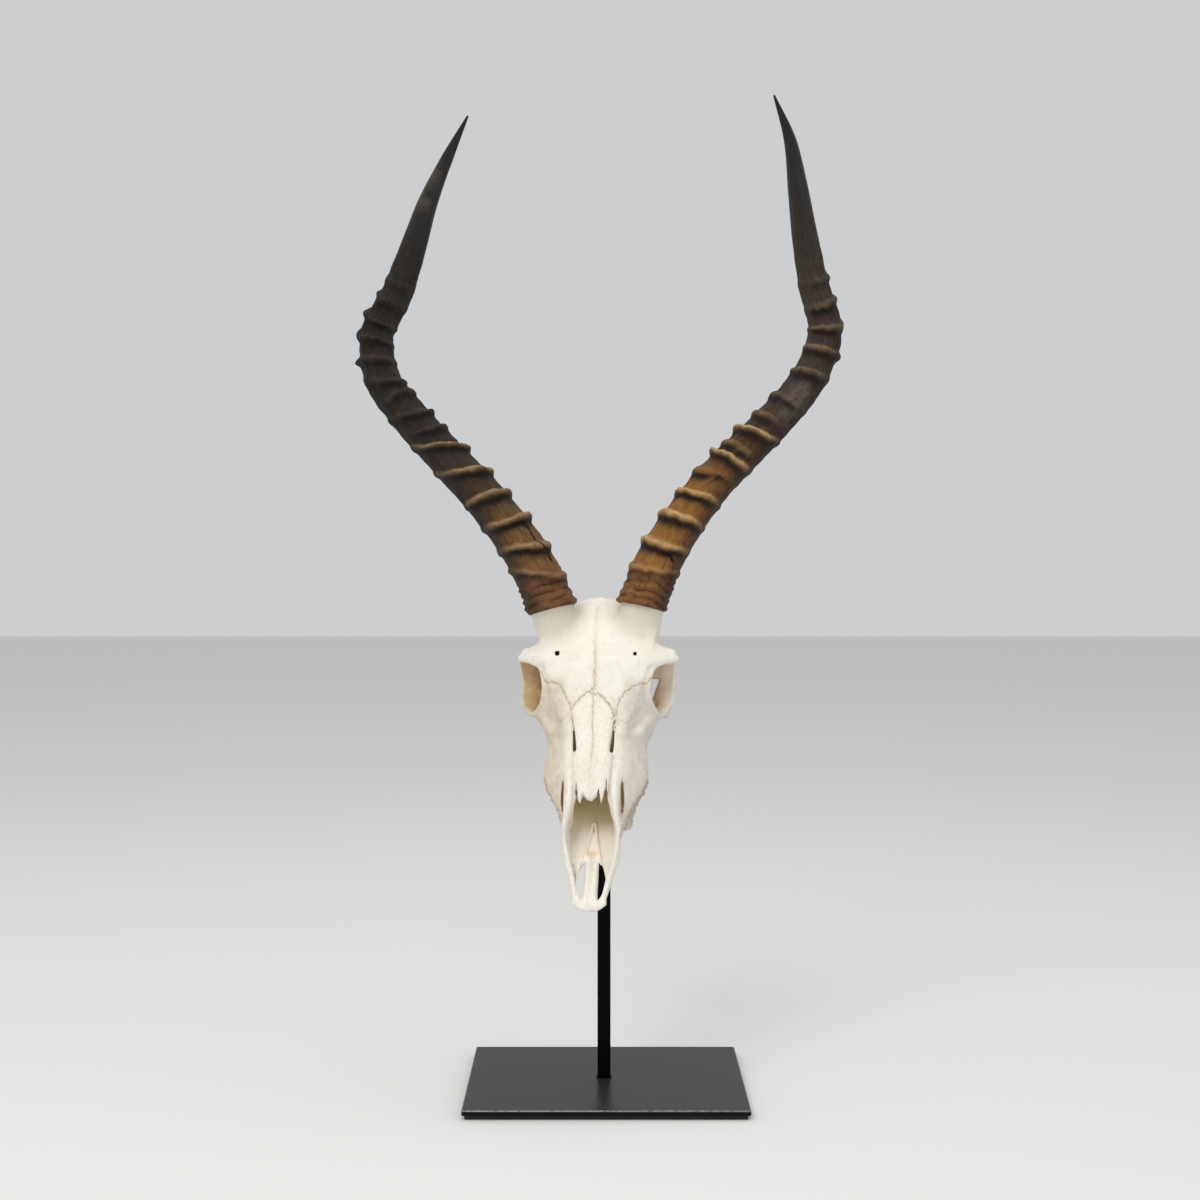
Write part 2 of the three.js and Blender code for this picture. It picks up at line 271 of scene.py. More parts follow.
def slab(width, depth, low, high, corner, edge):
    form = bmesh.new()
    bmesh.ops.create_cube(form, size=1)
    bmesh.ops.scale(form, vec=(width * mm, depth * mm, (high - low) * mm), verts=form.verts)
    bmesh.ops.translate(form, vec=(0, 0, (high + low) / 2 * mm), verts=form.verts)
    upright = [e for e in form.edges if abs(e.verts[0].co.z - e.verts[1].co.z) > (high - low) / 2 * mm]
    bmesh.ops.bevel(form, geom=upright, offset=corner * mm, segments=4, affect="EDGES", profile=0.5, material=-1)
    level = [e for e in form.edges if abs(e.verts[0].co.z - e.verts[1].co.z) < 1e-7
             and len(e.link_faces) == 2 and abs(e.link_faces[0].normal.dot(e.link_faces[1].normal)) < 0.5]
    bmesh.ops.bevel(form, geom=level, offset=edge * mm, segments=3, affect="EDGES", profile=0.5, material=-1)
    return form


# black coat colours, a lighter colour painted on the top face as a painted reflection, and a bright colour for the
# top edge, partly bare steel and partly a painted highlight
steelLook = {"coat": ((0.0022, 0.0022, 0.0025), (0.007, 0.007, 0.0075)), "dustAndSheen": (0.030, 0.030, 0.031),
             "bareEdgeAndHighlight": (0.34, 0.35, 0.36)}


def steelFinish(name, gloss):
    steel = Finish(name)
    place = steel.place()
    across = steel.part(place, 0)
    deep = steel.part(place, 1)
    up = steel.part(place, 2)
    toSide = standSet["width"] / 2 * mm - across.size()
    toEdge = toSide.math("MINIMUM", standSet["depth"] / 2 * mm - deep.size())
    grain = steel.noise(place, 2600, 2.0)
    cloud = steel.noise(place, 26, 4.0)
    chip = steel.noise(place, 420, 3.0)
    # the top edge of the plate is painted bright, partly bare worn steel and partly a painted highlight line
    rim = toEdge.smooth(0.0011, 0.0001) * up.smooth(0.0057, 0.0067) * up.smooth(0.0074, 0.0072)
    wearAndEdgeHighlight = rim * (0.55 + 0.45 * chip.smooth(0.36, 0.54))
    dustAndSheen = cloud.smooth(0.46, 0.70) * 0.35
    coat = steel.blend(dustAndSheen, *steelLook["coat"])
    # painted reflection: the top face of the plate is painted lighter, unevenly
    topFace = up.smooth(0.0068, 0.00698) * up.smooth(0.0074, 0.00706)
    sheenedTop = steel.blend(topFace * (0.6 + 0.4 * cloud), coat, steelLook["dustAndSheen"])
    colour = steel.blend(wearAndEdgeHighlight * 0.75, sheenedTop, steelLook["bareEdgeAndHighlight"])
    roughness = 0.22 + 0.10 * cloud + 0.06 * grain + 0.08 * wearAndEdgeHighlight
    height = steel.bump(grain, 0.00006, 0.5)
    return steel.feed({"Base Color": colour, "Roughness": roughness, "Metallic": wearAndEdgeHighlight * 0.5,
                       "Normal": height, "Specular IOR Level": gloss})


def rubberFinish():
    rubber = Finish("matt black rubber")
    place = rubber.place()
    grain = rubber.noise(place, 1500, 3.0)
    colour = rubber.blend(grain, (0.008, 0.008, 0.008), (0.020, 0.019, 0.018))
    return rubber.feed({"Base Color": colour, "Roughness": 0.75 + 0.15 * grain,
                        "Normal": rubber.bump(grain, 0.0001, 0.6)})


def buildStand():
    s = standSet
    pad = slab(s["width"] - 2 * s["inset"], s["depth"] - 2 * s["inset"], 0, s["pad"], s["corner"], s["padEdge"])
    addPiece("rubberPad", meshFrom(pad, "rubberPad"), ["base_pad"], rubberFinish())
    plateTop = s["pad"] + s["thick"]
    plate = slab(s["width"], s["depth"], s["pad"], plateTop, s["corner"], s["edge"])
    addPiece("standPlate", meshFrom(plate, "standPlate", s["broadFace"]), ["base_plate"],
             steelFinish("black satin coating", s["plateGloss"]))
    bar = slab(s["post"], s["post"], plateTop, s["postTop"], s["postCorner"], s["postEdge"])
    # weld bead: a lumpy ring of small steps round the foot
    bead = bmesh.new()
    bmesh.ops.create_cone(bead, cap_ends=True, segments=s["weldSides"], radius1=1, radius2=0.9, depth=2)
    bmesh.ops.subdivide_edges(bead, edges=[e for e in bead.edges if abs(e.verts[0].co.z - e.verts[1].co.z) > 1],
                              cuts=s["weldSteps"])
    for vert in bead.verts:
        up = (vert.co.z + 1) / 2
        turn = math.atan2(vert.co.y, vert.co.x)
        square = 1 / max(abs(math.cos(turn)), abs(math.sin(turn)))
        ripple = 1 + 0.10 * math.sin(turn * 26 + 2.2 * up) + 0.05 * math.sin(turn * 7 + 1)
        reach = s["post"] / 2 * square ** 0.8 - 0.2 + s["weld"] * ripple * math.sqrt(max(0, 1 - up ** 2))
        flat = math.hypot(vert.co.x, vert.co.y)
        scale = reach / flat if flat > 0 else 0
        vert.co = (vert.co.x * scale * mm, vert.co.y * scale * mm, (plateTop + up * s["weld"]) * mm)
    beadMesh = meshFrom(bead, "bead", s["broadFace"])
    bar.from_mesh(beadMesh)
    bmesh.ops.translate(bar, vec=(s["postX"] * mm, 0, 0), verts=bar.verts)
    bpy.data.meshes.remove(beadMesh)
    addPiece("standPost", meshFrom(bar, "standPost", s["broadFace"]), ["post"],
             steelFinish("black bar coating", s["postGloss"]))
    print("stand made")


buildStand()


# Horns: the line runs from base to tip. Each ring is [place, tilt, inner lift, outer lift, tan], tan being how
# strongly its crest is painted pale, partly as a painted highlight.

leftHornSet = {
    "nodes": ["left_horn"], "slot": "dark_horn", "mirror": 1, "seed": 11,
    "crack": [[-58, -44, 412], [-54.4, -42.4, 408.2], [-50.1, -44.9, 401.1], [-44.9, -48.2, 397.6],
              [-41, -43.8, 392.6], [-37.8, -44.8, 385.1]],
    "line": [[-38, -38, 351], [-52, -35, 382], [-71, -29, 410], [-93, -20, 436], [-118, -10, 462],
             [-142, 2, 488], [-164, 12, 517], [-170, 21, 552], [-155, 22, 584], [-143, 19, 617],
             [-131, 12, 650], [-116, 2, 680], [-100, -10, 708]],
    "radius": [[0, 17.8], [0.08, 16.2], [0.2, 14.9], [0.33, 14.0], [0.5, 12.9], [0.6, 12.0], [0.67, 11.3],
               [0.75, 9.6], [0.83, 7.3], [0.92, 4.2], [1, 0.7]],
    "rings": [[0.070, -0.046, 2.2, 1.6, 0.7], [0.120, -0.036, 2.8, 1.6, 1.0], [0.170, -0.030, 3.8, 1.2, 1.0],
              [0.226, -0.034, 4.2, 1.2, 1.0], [0.288, -0.056, 4.2, 1.2, 1.0], [0.346, -0.060, 4.0, 1.4, 0.9],
              [0.384, -0.040, 2.8, 0.3, 0.04], [0.421, -0.038, 3.0, 1.2, 0.06], [0.462, -0.020, 2.2, 0.2, 0.03],
              [0.492, -0.036, 2.0, 1.4, 0.05], [0.535, -0.016, 1.2, 3.2, 0.06], [0.572, -0.018, 1.4, 3.0, 0.03],
              [0.610, -0.004, 1.2, 2.8, 0.02], [0.648, 0.0, 0.8, 2.0, 0.0], [0.683, 0.0, 0.5, 1.1, 0.0]],
}
rightHornSet = {
    "nodes": ["right_horn"], "slot": "brown_horn", "mirror": -1, "seed": 29,
    "crack": [[39, -54, 391], [44.8, -52, 388.5], [48.5, -50, 383], [47, -50, 377]],
    "line": [[25, -38, 353], [38, -35, 385], [56, -29, 414], [77, -20, 441], [102, -10, 466], [128, 2, 492],
             [151, 12, 521], [163, 21, 555], [155, 22, 590], [148, 19, 625], [142, 12, 660], [135, 2, 693],
             [122, -10, 723]],
    "radius": [[0, 17.8], [0.08, 16.2], [0.2, 14.8], [0.33, 13.9], [0.5, 12.9], [0.58, 12.2], [0.67, 11.0],
               [0.75, 9.6], [0.83, 7.6], [0.92, 4.4], [1, 0.7]],
    "rings": [[0.067, 0.020, 2.2, 1.4, 0.6], [0.112, 0.018, 3.4, 1.2, 0.9], [0.162, 0.016, 3.8, 1.0, 1.0],
              [0.214, 0.022, 3.8, 1.0, 0.9], [0.262, 0.034, 2.4, 0.2, 0.1], [0.298, 0.022, 4.0, 1.0, 1.0],
              [0.320, 0.010, 2.2, 0.0, 0.3], [0.360, 0.030, 4.0, 1.2, 1.0], [0.392, 0.012, 2.2, 0.3, 0.2],
              [0.440, 0.016, 2.0, 0.5, 0.12], [0.500, 0.020, 2.0, 1.3, 0.22], [0.545, 0.004, 1.4, 2.7, 0.30],
              [0.590, 0.006, 1.2, 2.6, 0.25], [0.630, 0.0, 0.9, 2.4, 0.12], [0.676, 0.0, 0.6, 1.7, 0.05]],
}
hornShape = {"around": 132, "along": 620, "samples": 2001, "grain": 16, "collar": (0.070, 0.040),
             "worn": (0.66, 0.78), "pinch": (13, 3, 0.5), "oval": (1.14, 0.14), "crack": (1.2, 1.4),
             "roll": 6.0, "hem": ((0.90, -0.2), (0.80, 0.6)), "ridge": (3.5, 2.5, 2.6), "tan": (0.4, 2.1),
             "shade": (3.6, 5.0, 1.3)}


def ringReadings(s, t, length, side, front, steps):  # ring height, its pale crest that is partly a painted highlight on the lit top, and the painted shade under it
    inward = side * s["mirror"]
    innerFront = np.clip(0.35 + 0.75 * (0.72 * inward + 0.69 * front), 0, 1)
    outerFront = np.clip(0.35 + 0.75 * (-0.72 * inward + 0.69 * front), 0, 1)
    wander = eddies(steps, 2.2, s["seed"]) * 0.004 + eddies(steps, 0.55, s["seed"] + 9, 2) * 0.0013
    ridgeBelow, ridgeAbove, ridgePower = hornShape["ridge"]
    tanAt, tanWide = hornShape["tan"]
    shadeAt, shadeBelow, shadeAbove = hornShape["shade"]
    lift, crest, shade = np.zeros((3, len(t)))
    for index, (place, tilt, inner, outer, tan) in enumerate(s["rings"]):
        middle = place + tilt / 2 * side - 0.006 * front + wander
        away = (t - middle) * length
        height = inner * innerFront ** 1.3 + outer * outerFront ** 1.3
        unevenAt = np.stack([side, front, np.full(len(t), index * 3.1)], 1)
        height *= 1 + 0.30 * eddies(unevenAt, 0.7, s["seed"] + index)
        width = np.where(away > 0, ridgeAbove, ridgeBelow)
        lift = np.maximum(lift, height * np.exp(-np.abs(away / width) ** ridgePower))
        crest = np.maximum(crest, tan * np.exp(-((away - tanAt) / tanWide) ** 2) * eased(0.8, 2.6, height))
        under = np.where(away > -shadeAt, shadeAbove, shadeBelow)
        shade = np.maximum(shade, np.exp(-((away + shadeAt) / under) ** 2) * eased(0.5, 2.2, height))
    return lift, crest, shade


def crackReading(s, place):  # 1 in the crack, 0 away from it
    nearest = np.full(len(place), 99.0)
    crack = np.array(s["crack"], float)
    for start, end in zip(crack[:-1], crack[1:]):
        run = end - start
        near = start + np.clip((place - start) @ run / (run @ run), 0, 1)[:, None] * run
        nearest = np.minimum(nearest, np.linalg.norm(place - near, axis=1))
    uneven = 0.5 * eddies(place, 3, s["seed"] + 90)
    return np.exp(-((nearest + uneven) / hornShape["crack"][0]) ** 2)


def closeFoot(form, centre, inside):  # the open foot is turned in and closed
    rim = [e for e in form.edges if e.is_boundary]
    for shrink, push in hornShape["hem"]:
        made = bmesh.ops.extrude_edge_only(form, edges=rim)
        verts = [v for v in made["geom"] if isinstance(v, bmesh.types.BMVert)]
        rim = [e for e in made["geom"] if isinstance(e, bmesh.types.BMEdge) and e.is_boundary]
        for vert in verts:
            vert.co = centre + (vert.co - centre) * shrink + inside * push
    bmesh.ops.contextual_create(form, geom=rim)
    bmesh.ops.triangulate(form, faces=[f for f in form.faces if len(f.verts) > 4])


def hornMesh(name, s):
    form = bmesh.new()
    bmesh.ops.create_grid(form, x_segments=hornShape["around"], y_segments=hornShape["along"], size=1)
    mesh = meshFrom(form, name)
    flat = readPoints(mesh)
    turn = np.round((flat[:, 0] + 1) / 2, 6) % 1.0 * 2 * np.pi
    t = np.clip((flat[:, 1] + 1) / 2, 0, 1)

    samples = hornShape["samples"]
    line = through(s["line"], samples)
    length = np.linalg.norm(np.diff(line, axis=0), axis=1).sum()
    heading = np.gradient(line, axis=0)
    heading /= np.linalg.norm(heading, axis=1)[:, None]
    sideways = np.cross(heading, (0, -1, 0))
    sideways /= np.linalg.norm(sideways, axis=1)[:, None]
    forward = np.cross(sideways, heading)
    at = t * (samples - 1)

    def along(values):
        return np.stack([np.interp(at, np.arange(samples), values[:, k]) for k in range(3)], 1)

    side, front = np.cos(turn), np.sin(turn)
    inward = side * s["mirror"]  # +1 on the side facing the other horn
    steps = np.stack([side, front, t * length / hornShape["grain"]], 1)
    lift, crest, shade = ringReadings(s, t, length, side, front, steps)
    flutes = eddies(np.stack([side * 3, front * 3, t * length / 60], 1), 0.62, s["seed"] + 50, 2)
    knots = eddies(steps * 1.4, 1.1, s["seed"] + 60)
    wrinkle = eddies(np.stack([side * 0.8, front * 0.8, t * length / 4.2], 1), 1.1, s["seed"] + 70)
    sway = eddies(np.stack([side, front, t * 12], 1), 1.9, s["seed"] + 80)
    rolls = np.sin(t * length / hornShape["roll"] * fullTurn + 2.7 * sway)
    rolls *= np.clip(0.75 + 0.4 * knots, 0.3, 1.2)
    collar = eased(*hornShape["collar"], t)
    worn = 1 - eased(*hornShape["worn"], t)
    lift += 0.30 * flutes * (0.35 + 0.65 * worn) + 0.35 * knots * worn + collar * (0.6 * wrinkle + 0.58 * rolls)
    pinchAt, pinchWide, pinchDeep = hornShape["pinch"]
    lift -= pinchDeep * np.exp(-((t * length - pinchAt) / pinchWide) ** 2)

    r = np.interp(t, *zip(*s["radius"])) + lift * eased(1.0, 0.93, t)
    r = np.where(t > 0.9999, 0, r)
    oval = hornShape["oval"][0] - hornShape["oval"][1] * t
    shift = -s["mirror"] * 0.17 * side * r * eased(0.08, 0, t)
    place = along(line) + along(sideways) * (side * r)[:, None] + along(forward) * (front * r * oval)[:, None]
    place += along(heading) * shift[:, None]
    split = crackReading(s, place)
    outward = along(sideways) * side[:, None] + along(forward) * front[:, None]
    place -= outward * split[:, None] * hornShape["crack"][1]

    mesh.vertices.foreach_set("co", (place * mm).ravel())
    # ring crests painted pale and partly lit, painted shade under the rings, and painted shade in the creases of
    # the foot
    storeReadings(mesh, {"crest": crest, "hollow": shade, "along": t, "inward": inward, "split": split,
                         "crease": collar * eased(0.0, -1.1, 0.6 * wrinkle + rolls), "grain": steps})

    # the two long edges of the grid become one
    form = bmesh.new()
    form.from_mesh(mesh)
    bmesh.ops.remove_doubles(form, verts=form.verts, dist=1e-6)
    closeFoot(form, Vector(line[0]) * mm, Vector(heading[0]) * 5 * mm)
    writeForm(form, mesh)
    return shadeSmooth(mesh)


def hornFinish(name, look):
    horn = Finish(name)
    grain = horn.stored("grain", "Vector")
    along, crest, hollow = horn.stored("along"), horn.stored("crest"), horn.stored("hollow")
    inward, crease = horn.stored("inward"), horn.stored("crease")
    place = horn.place()
    fibre = horn.noise(horn.stretched(grain, (9, 9, 0.55)), 1.6, 5.0, 0.65)
    fineFibre = horn.noise(horn.stretched(grain, (26, 26, 1.0)), 1.5, 3.0, 0.6)
    patch = horn.noise(horn.stretched(grain, (1.2, 1.2, 0.8)), 1.0, 4.0, 0.6)
    blot = horn.noise(place, 90, 5.0, 0.62)
    speck = horn.noise(place, 700, 3.0, 0.6)
    body = horn.ramp(along + 0.10 * (patch - 0.5) + 0.05 * (blot - 0.5), look["along"])
    dark = horn.blend((fibre.smooth(0.46, 0.66) * 0.38 + fineFibre.smooth(0.46, 0.64) * 0.5).held(), body,
                      look["streak"])
    warm = horn.blend(patch.smooth(0.52, 0.70) * along.smooth(0.56, 0.40) * 0.6, dark, look["patch"])
    wornBand = (along - look["wornAt"]).size().smooth(0.055, 0.02) * inward.smooth(0.9, -0.1)
    worn = horn.blend((blot.smooth(0.35, 0.6) * look["wornOn"] * wornBand).held(), warm, look["worn"])
    # painted shade under each ring
    sunk = horn.blend((hollow * (0.85 + 0.5 * fibre) * along.smooth(0.75, 0.6)).held(), worn, look["hollow"])
    beads = 0.45 + 0.75 * fineFibre.smooth(0.30, 0.62)
    # ring crests painted pale, partly their own colour and partly a painted highlight on their lit top
    lit = horn.blend((crest * beads * (0.1 + 1.6 * blot)).held(), sunk, look["crest"])
    foot = along.smooth(0.085, 0.045) * (0.5 + 0.5 * blot.smooth(0.4, 0.6))
    based = horn.blend((foot * 0.7).held(), lit, look["foot"])
    # painted shade in the creases of the foot
    creased = horn.blend((crease * (0.5 + fibre)).held() * 0.6, based, look["hollow"])
    # painted shade: the outer side of each horn is painted darker
    side = horn.blend((inward * -1).smooth(0.0, 0.9) * 0.75 * along.smooth(0.72, 0.5), creased, look["outer"])
    # painted shade: the crack is painted near black
    cracked = horn.blend(horn.stored("split").smooth(0.3, 0.75) * 0.95, side, look["split"])
    height = fibre * 0.9 + fineFibre * 0.5 + speck * 0.2
    rough = 0.36 + 0.22 * fibre + 0.10 * speck - 0.12 * along.smooth(0.72, 0.9)
    return horn.feed({"Base Color": cracked, "Roughness": rough, "Normal": horn.bump(height, 0.0016, 1.0),
                      "Specular IOR Level": 0.18, "Coat Weight": along.smooth(0.70, 0.86) * 0.35,
                      "Coat Roughness": 0.28})


# colours of each horn; the shade under the rings, in the creases and on the outer side is painted shade, and the
# pale crest colour is partly a painted highlight
darkLook = {
    "along": [(0.0, (0.20, 0.085, 0.034)), (0.06, (0.24, 0.115, 0.038)), (0.15, (0.20, 0.105, 0.032)),
              (0.215, (0.060, 0.034, 0.017)), (0.38, (0.028, 0.021, 0.015)), (0.66, (0.028, 0.023, 0.017)),
              (0.80, (0.022, 0.019, 0.016)), (1.0, (0.018, 0.015, 0.013))],
    "streak": (0.010, 0.007, 0.005), "patch": (0.11, 0.060, 0.026), "hollow": (0.010, 0.006, 0.004),
    "crest": (0.34, 0.215, 0.10), "foot": (0.22, 0.095, 0.040), "outer": (0.014, 0.010, 0.007),
    "worn": (0.13, 0.10, 0.075), "wornAt": 0.86, "wornOn": 0.6, "split": (0.006, 0.004, 0.003),
}
brownLook = {
    "along": [(0.0, (0.22, 0.095, 0.030)), (0.06, (0.36, 0.160, 0.034)), (0.2, (0.34, 0.145, 0.026)),
              (0.32, (0.085, 0.042, 0.018)), (0.44, (0.052, 0.038, 0.026)), (0.66, (0.066, 0.052, 0.038)),
              (0.80, (0.024, 0.020, 0.017)), (1.0, (0.010, 0.008, 0.007))],
    "streak": (0.020, 0.010, 0.005), "patch": (0.26, 0.11, 0.026), "hollow": (0.014, 0.007, 0.004),
    "crest": (0.54, 0.355, 0.155), "foot": (0.24, 0.105, 0.036), "outer": (0.026, 0.014, 0.008),
    "worn": (0.12, 0.105, 0.085), "wornAt": 0.44, "wornOn": 0.8, "split": (0.006, 0.004, 0.003),
}
for name, settings, look in (("leftHorn", leftHornSet, darkLook), ("rightHorn", rightHornSet, brownLook)):
    addPiece(name, hornMesh(name, settings), settings["nodes"], hornFinish(name + " keratin", look))
    print(name, "made")


# Skull, shaped as one piece of clay. x is sideways, h is up from the palate, a is back from the nose tip.

skullSet = {"turn": 6, "lean": 38, "tip": (-11.75, -99.45, 146.4), "step": 0.85, "low": (0, -16, -6),
            "high": (64, 108, 248), "triangles": 192000}
turnSine, turnCosine = 0.10453, 0.99452
leanSine, leanCosine = 0.6157, 0.788
turnRows = np.array(Matrix.Rotation(math.radians(-skullSet["turn"]), 3, "Z")
                    @ Matrix.Rotation(math.radians(-skullSet["lean"]), 3, "X"))
skullTip = np.array(Vector(skullSet["tip"]))


def toObject(local):
    return local * (1, -1, 1) @ turnRows.T + skullTip


def toSkull(places):
    return (places - skullTip) @ turnRows * (1, -1, 1)


def upAndBack(h, a):  # a place seen from the front: its height over the nose tip and its depth behind it
    return leanSine * h + leanCosine * a, leanSine * a - leanCosine * h


class Clay:  # a block of distances to the surface, below zero inside it, and one of the shape before any cut
    def __init__(self, low, high, step):
        self.step = step
        self.axes = [np.arange(lo, hi + step, step, dtype=np.float32) for lo, hi in zip(low, high)]
        self.field = np.full([len(axis) for axis in self.axes], 9, np.float32)
        self.hull = self.field.copy()

    def work(self, shape, blend, carve):
        low, high, distance = shape
        cut = tuple(slice(*np.searchsorted(axis, (lo - blend - 2, hi + blend + 2)))
                    for axis, lo, hi in zip(self.axes, low, high))
        x, h, a = (axis[part] for axis, part in zip(self.axes, cut))
        new = distance(x[:, None, None], h[None, :, None], a[None, None, :])
        for block in [self.field] if carve else [self.field, self.hull]:
            old = -block[cut] if carve else block[cut]
            mix = np.clip(0.5 + 0.5 * (new - old) / blend, 0, 1)
            joined = new + (old - new) * mix - blend * mix * (1 - mix)
            block[cut] = -joined if carve else joined

    def add(self, shape, blend=3.0):
        self.work(shape, blend, False)

    def cut(self, shape, blend=1.5):
        self.work(shape, blend, True)

    def mirror(self):  # the half that was shaped, and its mirror image
        self.axes[0] = np.concatenate([-self.axes[0][:0:-1], self.axes[0]])
        self.field = np.concatenate([self.field[:0:-1], self.field])
        self.hull = np.concatenate([self.hull[:0:-1], self.hull])

    def read(self, block, points):
        place = np.clip((points - [axis[0] for axis in self.axes]) / self.step, 0, np.array(block.shape) - 1.001)
        cell = place.astype(int)
        part = place - cell
        total = 0
        for corner in range(8):
            bit = np.array([corner >> k & 1 for k in range(3)])
            total = total + np.prod(np.where(bit, part, 1 - part), axis=1) * block[tuple((cell + bit).T)]
        return total


def ball(x, h, a, wide, high, long, power=2):  # a higher power makes it squarer
    reach = np.array((wide, high, long))
    centre = np.array((x, h, a))

    def distance(*places):
        parts = [(np.abs(p - c) / r, r) for p, c, r in zip(places, centre, reach)]
        near = sum(part ** power for part, _ in parts) ** (1 / power)
        slope = sum((part ** (power - 1) / r) ** 2 for part, r in parts) ** 0.5
        return (near - 1) * near ** (power - 1) / (slope + 1e-5)
    return centre - reach, centre + reach, distance


def rod(stations, pieces=6, power=2):  # stations of x, h, a, half width, half height
    line = through(stations, pieces * (len(stations) - 1) + 1).astype(np.float32)
    reach = line[:, 3:].max() + 1
    low, high = line[:, :3].min(0) - reach, line[:, :3].max(0) + reach

    def distance(x, h, a):
        nearest = np.float32(99)
        for start, end in zip(line[:-1], line[1:]):
            run = end[:3] - start[:3]
            span = np.linalg.norm(run) + 1e-6
            way = run / span
            side = np.cross((0, 1, 0), way)
            side /= np.linalg.norm(side) + 1e-6
            up = np.cross(way, side)
            offset = (x - start[0], h - start[1], a - start[2])
            ahead = sum(o * w for o, w in zip(offset, way))
            t = np.clip(ahead / span, 0, 1)
            wide = start[3] + (end[3] - start[3]) * t
            tall = start[4] + (end[4] - start[4]) * t
            least = np.minimum(wide, tall)
            parts = ((np.abs(sum(o * w for o, w in zip(offset, side))) / wide, wide),
                     (np.abs(sum(o * w for o, w in zip(offset, up))) / tall, tall),
                     (np.abs(ahead - t * span) / least, least))
            near = sum(part ** power for part, _ in parts) ** (1 / power)
            slope = sum((part ** (power - 1) / r) ** 2 for part, r in parts) ** 0.5 + 1e-5
            nearest = np.minimum(nearest, (near - 1) * near ** (power - 1) / slope)
        return nearest
    return low, high, distance


def softened(pairs, spread=4.0):  # a rounded-off reading of [place, value] pairs
    places, values = zip(*pairs)
    fine = np.arange(places[0] - 20, places[-1] + 21.0)
    kernel = np.exp(-0.5 * (np.arange(-12, 13) / spread) ** 2)
    curve = np.convolve(np.pad(np.interp(fine, places, values), 12, "edge"), kernel / kernel.sum(), "valid")
    return lambda a: np.interp(a, fine, curve).astype(np.float32)


faceSet = {
    "top": [[34, 12], [46, 19], [56, 27], [60, 31], [72, 39.5], [100, 51], [120, 56], [138, 60.5], [155, 68],
            [172, 73], [190, 74], [206, 69]],
    "bottom": [[34, 1], [150, 0], [160, 8], [206, 16]],
    "widest": [[34, 6], [46, 10], [56, 14], [70, 19], [100, 22], [120, 27], [132, 35], [138, 40], [150, 48],
               [170, 57], [206, 48]],
    "width": [[34, 15], [40, 17.4], [46, 19.4], [56, 20.2], [60, 21.6], [67, 25], [71, 28.4], [76, 30.4],
              [83, 34.2], [95, 36.2], [107, 36.2], [113, 34.9], [121, 34.8], [128, 36.6], [132, 38.6],
              [137, 41.2], [143, 39.6], [152, 38], [170, 41], [190, 41], [206, 30]],
    "power": [[34, 1.6], [120, 1.6], [130, 1.9], [142, 2.6], [155, 3.4], [190, 3.2], [206, 2.2]],
    "span": (36, 206), "wall": 2.2,
}


def face(inset=0.0, span=faceSet["span"]):
    top, bottom, widest = (softened(faceSet[key]) for key in ("top", "bottom", "widest"))
    width, power = softened(faceSet["width"], 2.5), softened(faceSet["power"])
    front, back = span

    def distance(x, h, a):
        middle = widest(a)
        rise = np.where(h > middle, (h - middle) / (top(a) - inset - middle),
                        (middle - h) / (middle - bottom(a) - inset))
        bend = np.where(h > middle, power(a), 3.4).astype(np.float32)
        across = np.abs(x) / (width(a) - inset)
        bulk = (across ** bend + np.abs(rise) ** bend) ** (1 / bend)
        slope = np.sqrt(sum(g ** 2 for g in np.gradient(bulk, skullSet["step"]))) + 1e-3
        return np.maximum(np.clip((bulk - 1) / slope, -9, 9), np.maximum(front - a, a - back)).astype(np.float32)
    return np.array((0, -4, front - 2)), np.array((58, 90, back + 2)), distance


socketSet = {"ball": (51, 46, 153.6, 22, 14.2, 17.2), "reach": (60, 118), "opticHole": (28, 40, 159, 6, 6, 8),
             "gap": [[42.9, 154.2], [50.6, 153.8], [47.6, 146.1], [45.0, 139.6], [42.1, 140.8]]}


def gapCut():  # the gap between the bar behind the eye and the braincase, straight back from the front
    corners = np.array(socketSet["gap"])

    def distance(x, h, a):
        up, deep = upAndBack(h, a)
        across = x + 0.105 * deep
        outside = np.maximum(socketSet["reach"][0] - deep, deep - socketSet["reach"][1])
        for start, end in zip(corners, np.roll(corners, -1, axis=0)):
            way = (end - start) / np.linalg.norm(end - start)
            outside = np.maximum(outside, (up - start[1]) * way[0] - (across - start[0]) * way[1])
        return outside.astype(np.float32)
    return np.array((28, -10, 140)), np.array((46, 52, 200)), distance


def cheekEdge(x, h, a):  # how far a place lies above the broken front edge of the cheeks
    side = np.abs(x)
    limit = np.where(x < 0, 60.4 + (side - 21.5) * 1.63, 54.5 + (side - 20.5) * 1.76)
    return upAndBack(h, a)[0] - limit


def nearEdge(local, reach):  # 1 at that broken edge
    x, h, a = local.T
    return (np.exp(-(cheekEdge(x, h, a) / reach) ** 2) * eased(18.5, 21, np.abs(x)) * eased(28, 20, h)
            * eased(106, 96, a))


def narrowing(local):  # the right cheekbone stands a little closer in than the left one
    up, _ = upAndBack(local[:, 1], local[:, 2])
    return 3.4 * eased(40, 55, local[:, 0]) * eased(171, 160, up)


def shapeHead(clay):
    clay.add(face(), 2)
    clay.add(ball(0, 42, 198, 33, 29, 31), 6)
    clay.add(rod([[0, 47, 116, 20, 3], [0, 53.5, 129, 26, 3], [0, 58.8, 140, 30, 3.4], [0, 63.2, 151, 33.5, 4],
                  [0, 67, 163, 37.5, 4.5], [0, 69.6, 176, 40, 4.6], [0, 69.6, 190, 41, 4.6]]), 6)
    clay.cut(ball(37, 4, 180, 17, 22, 29), 6)


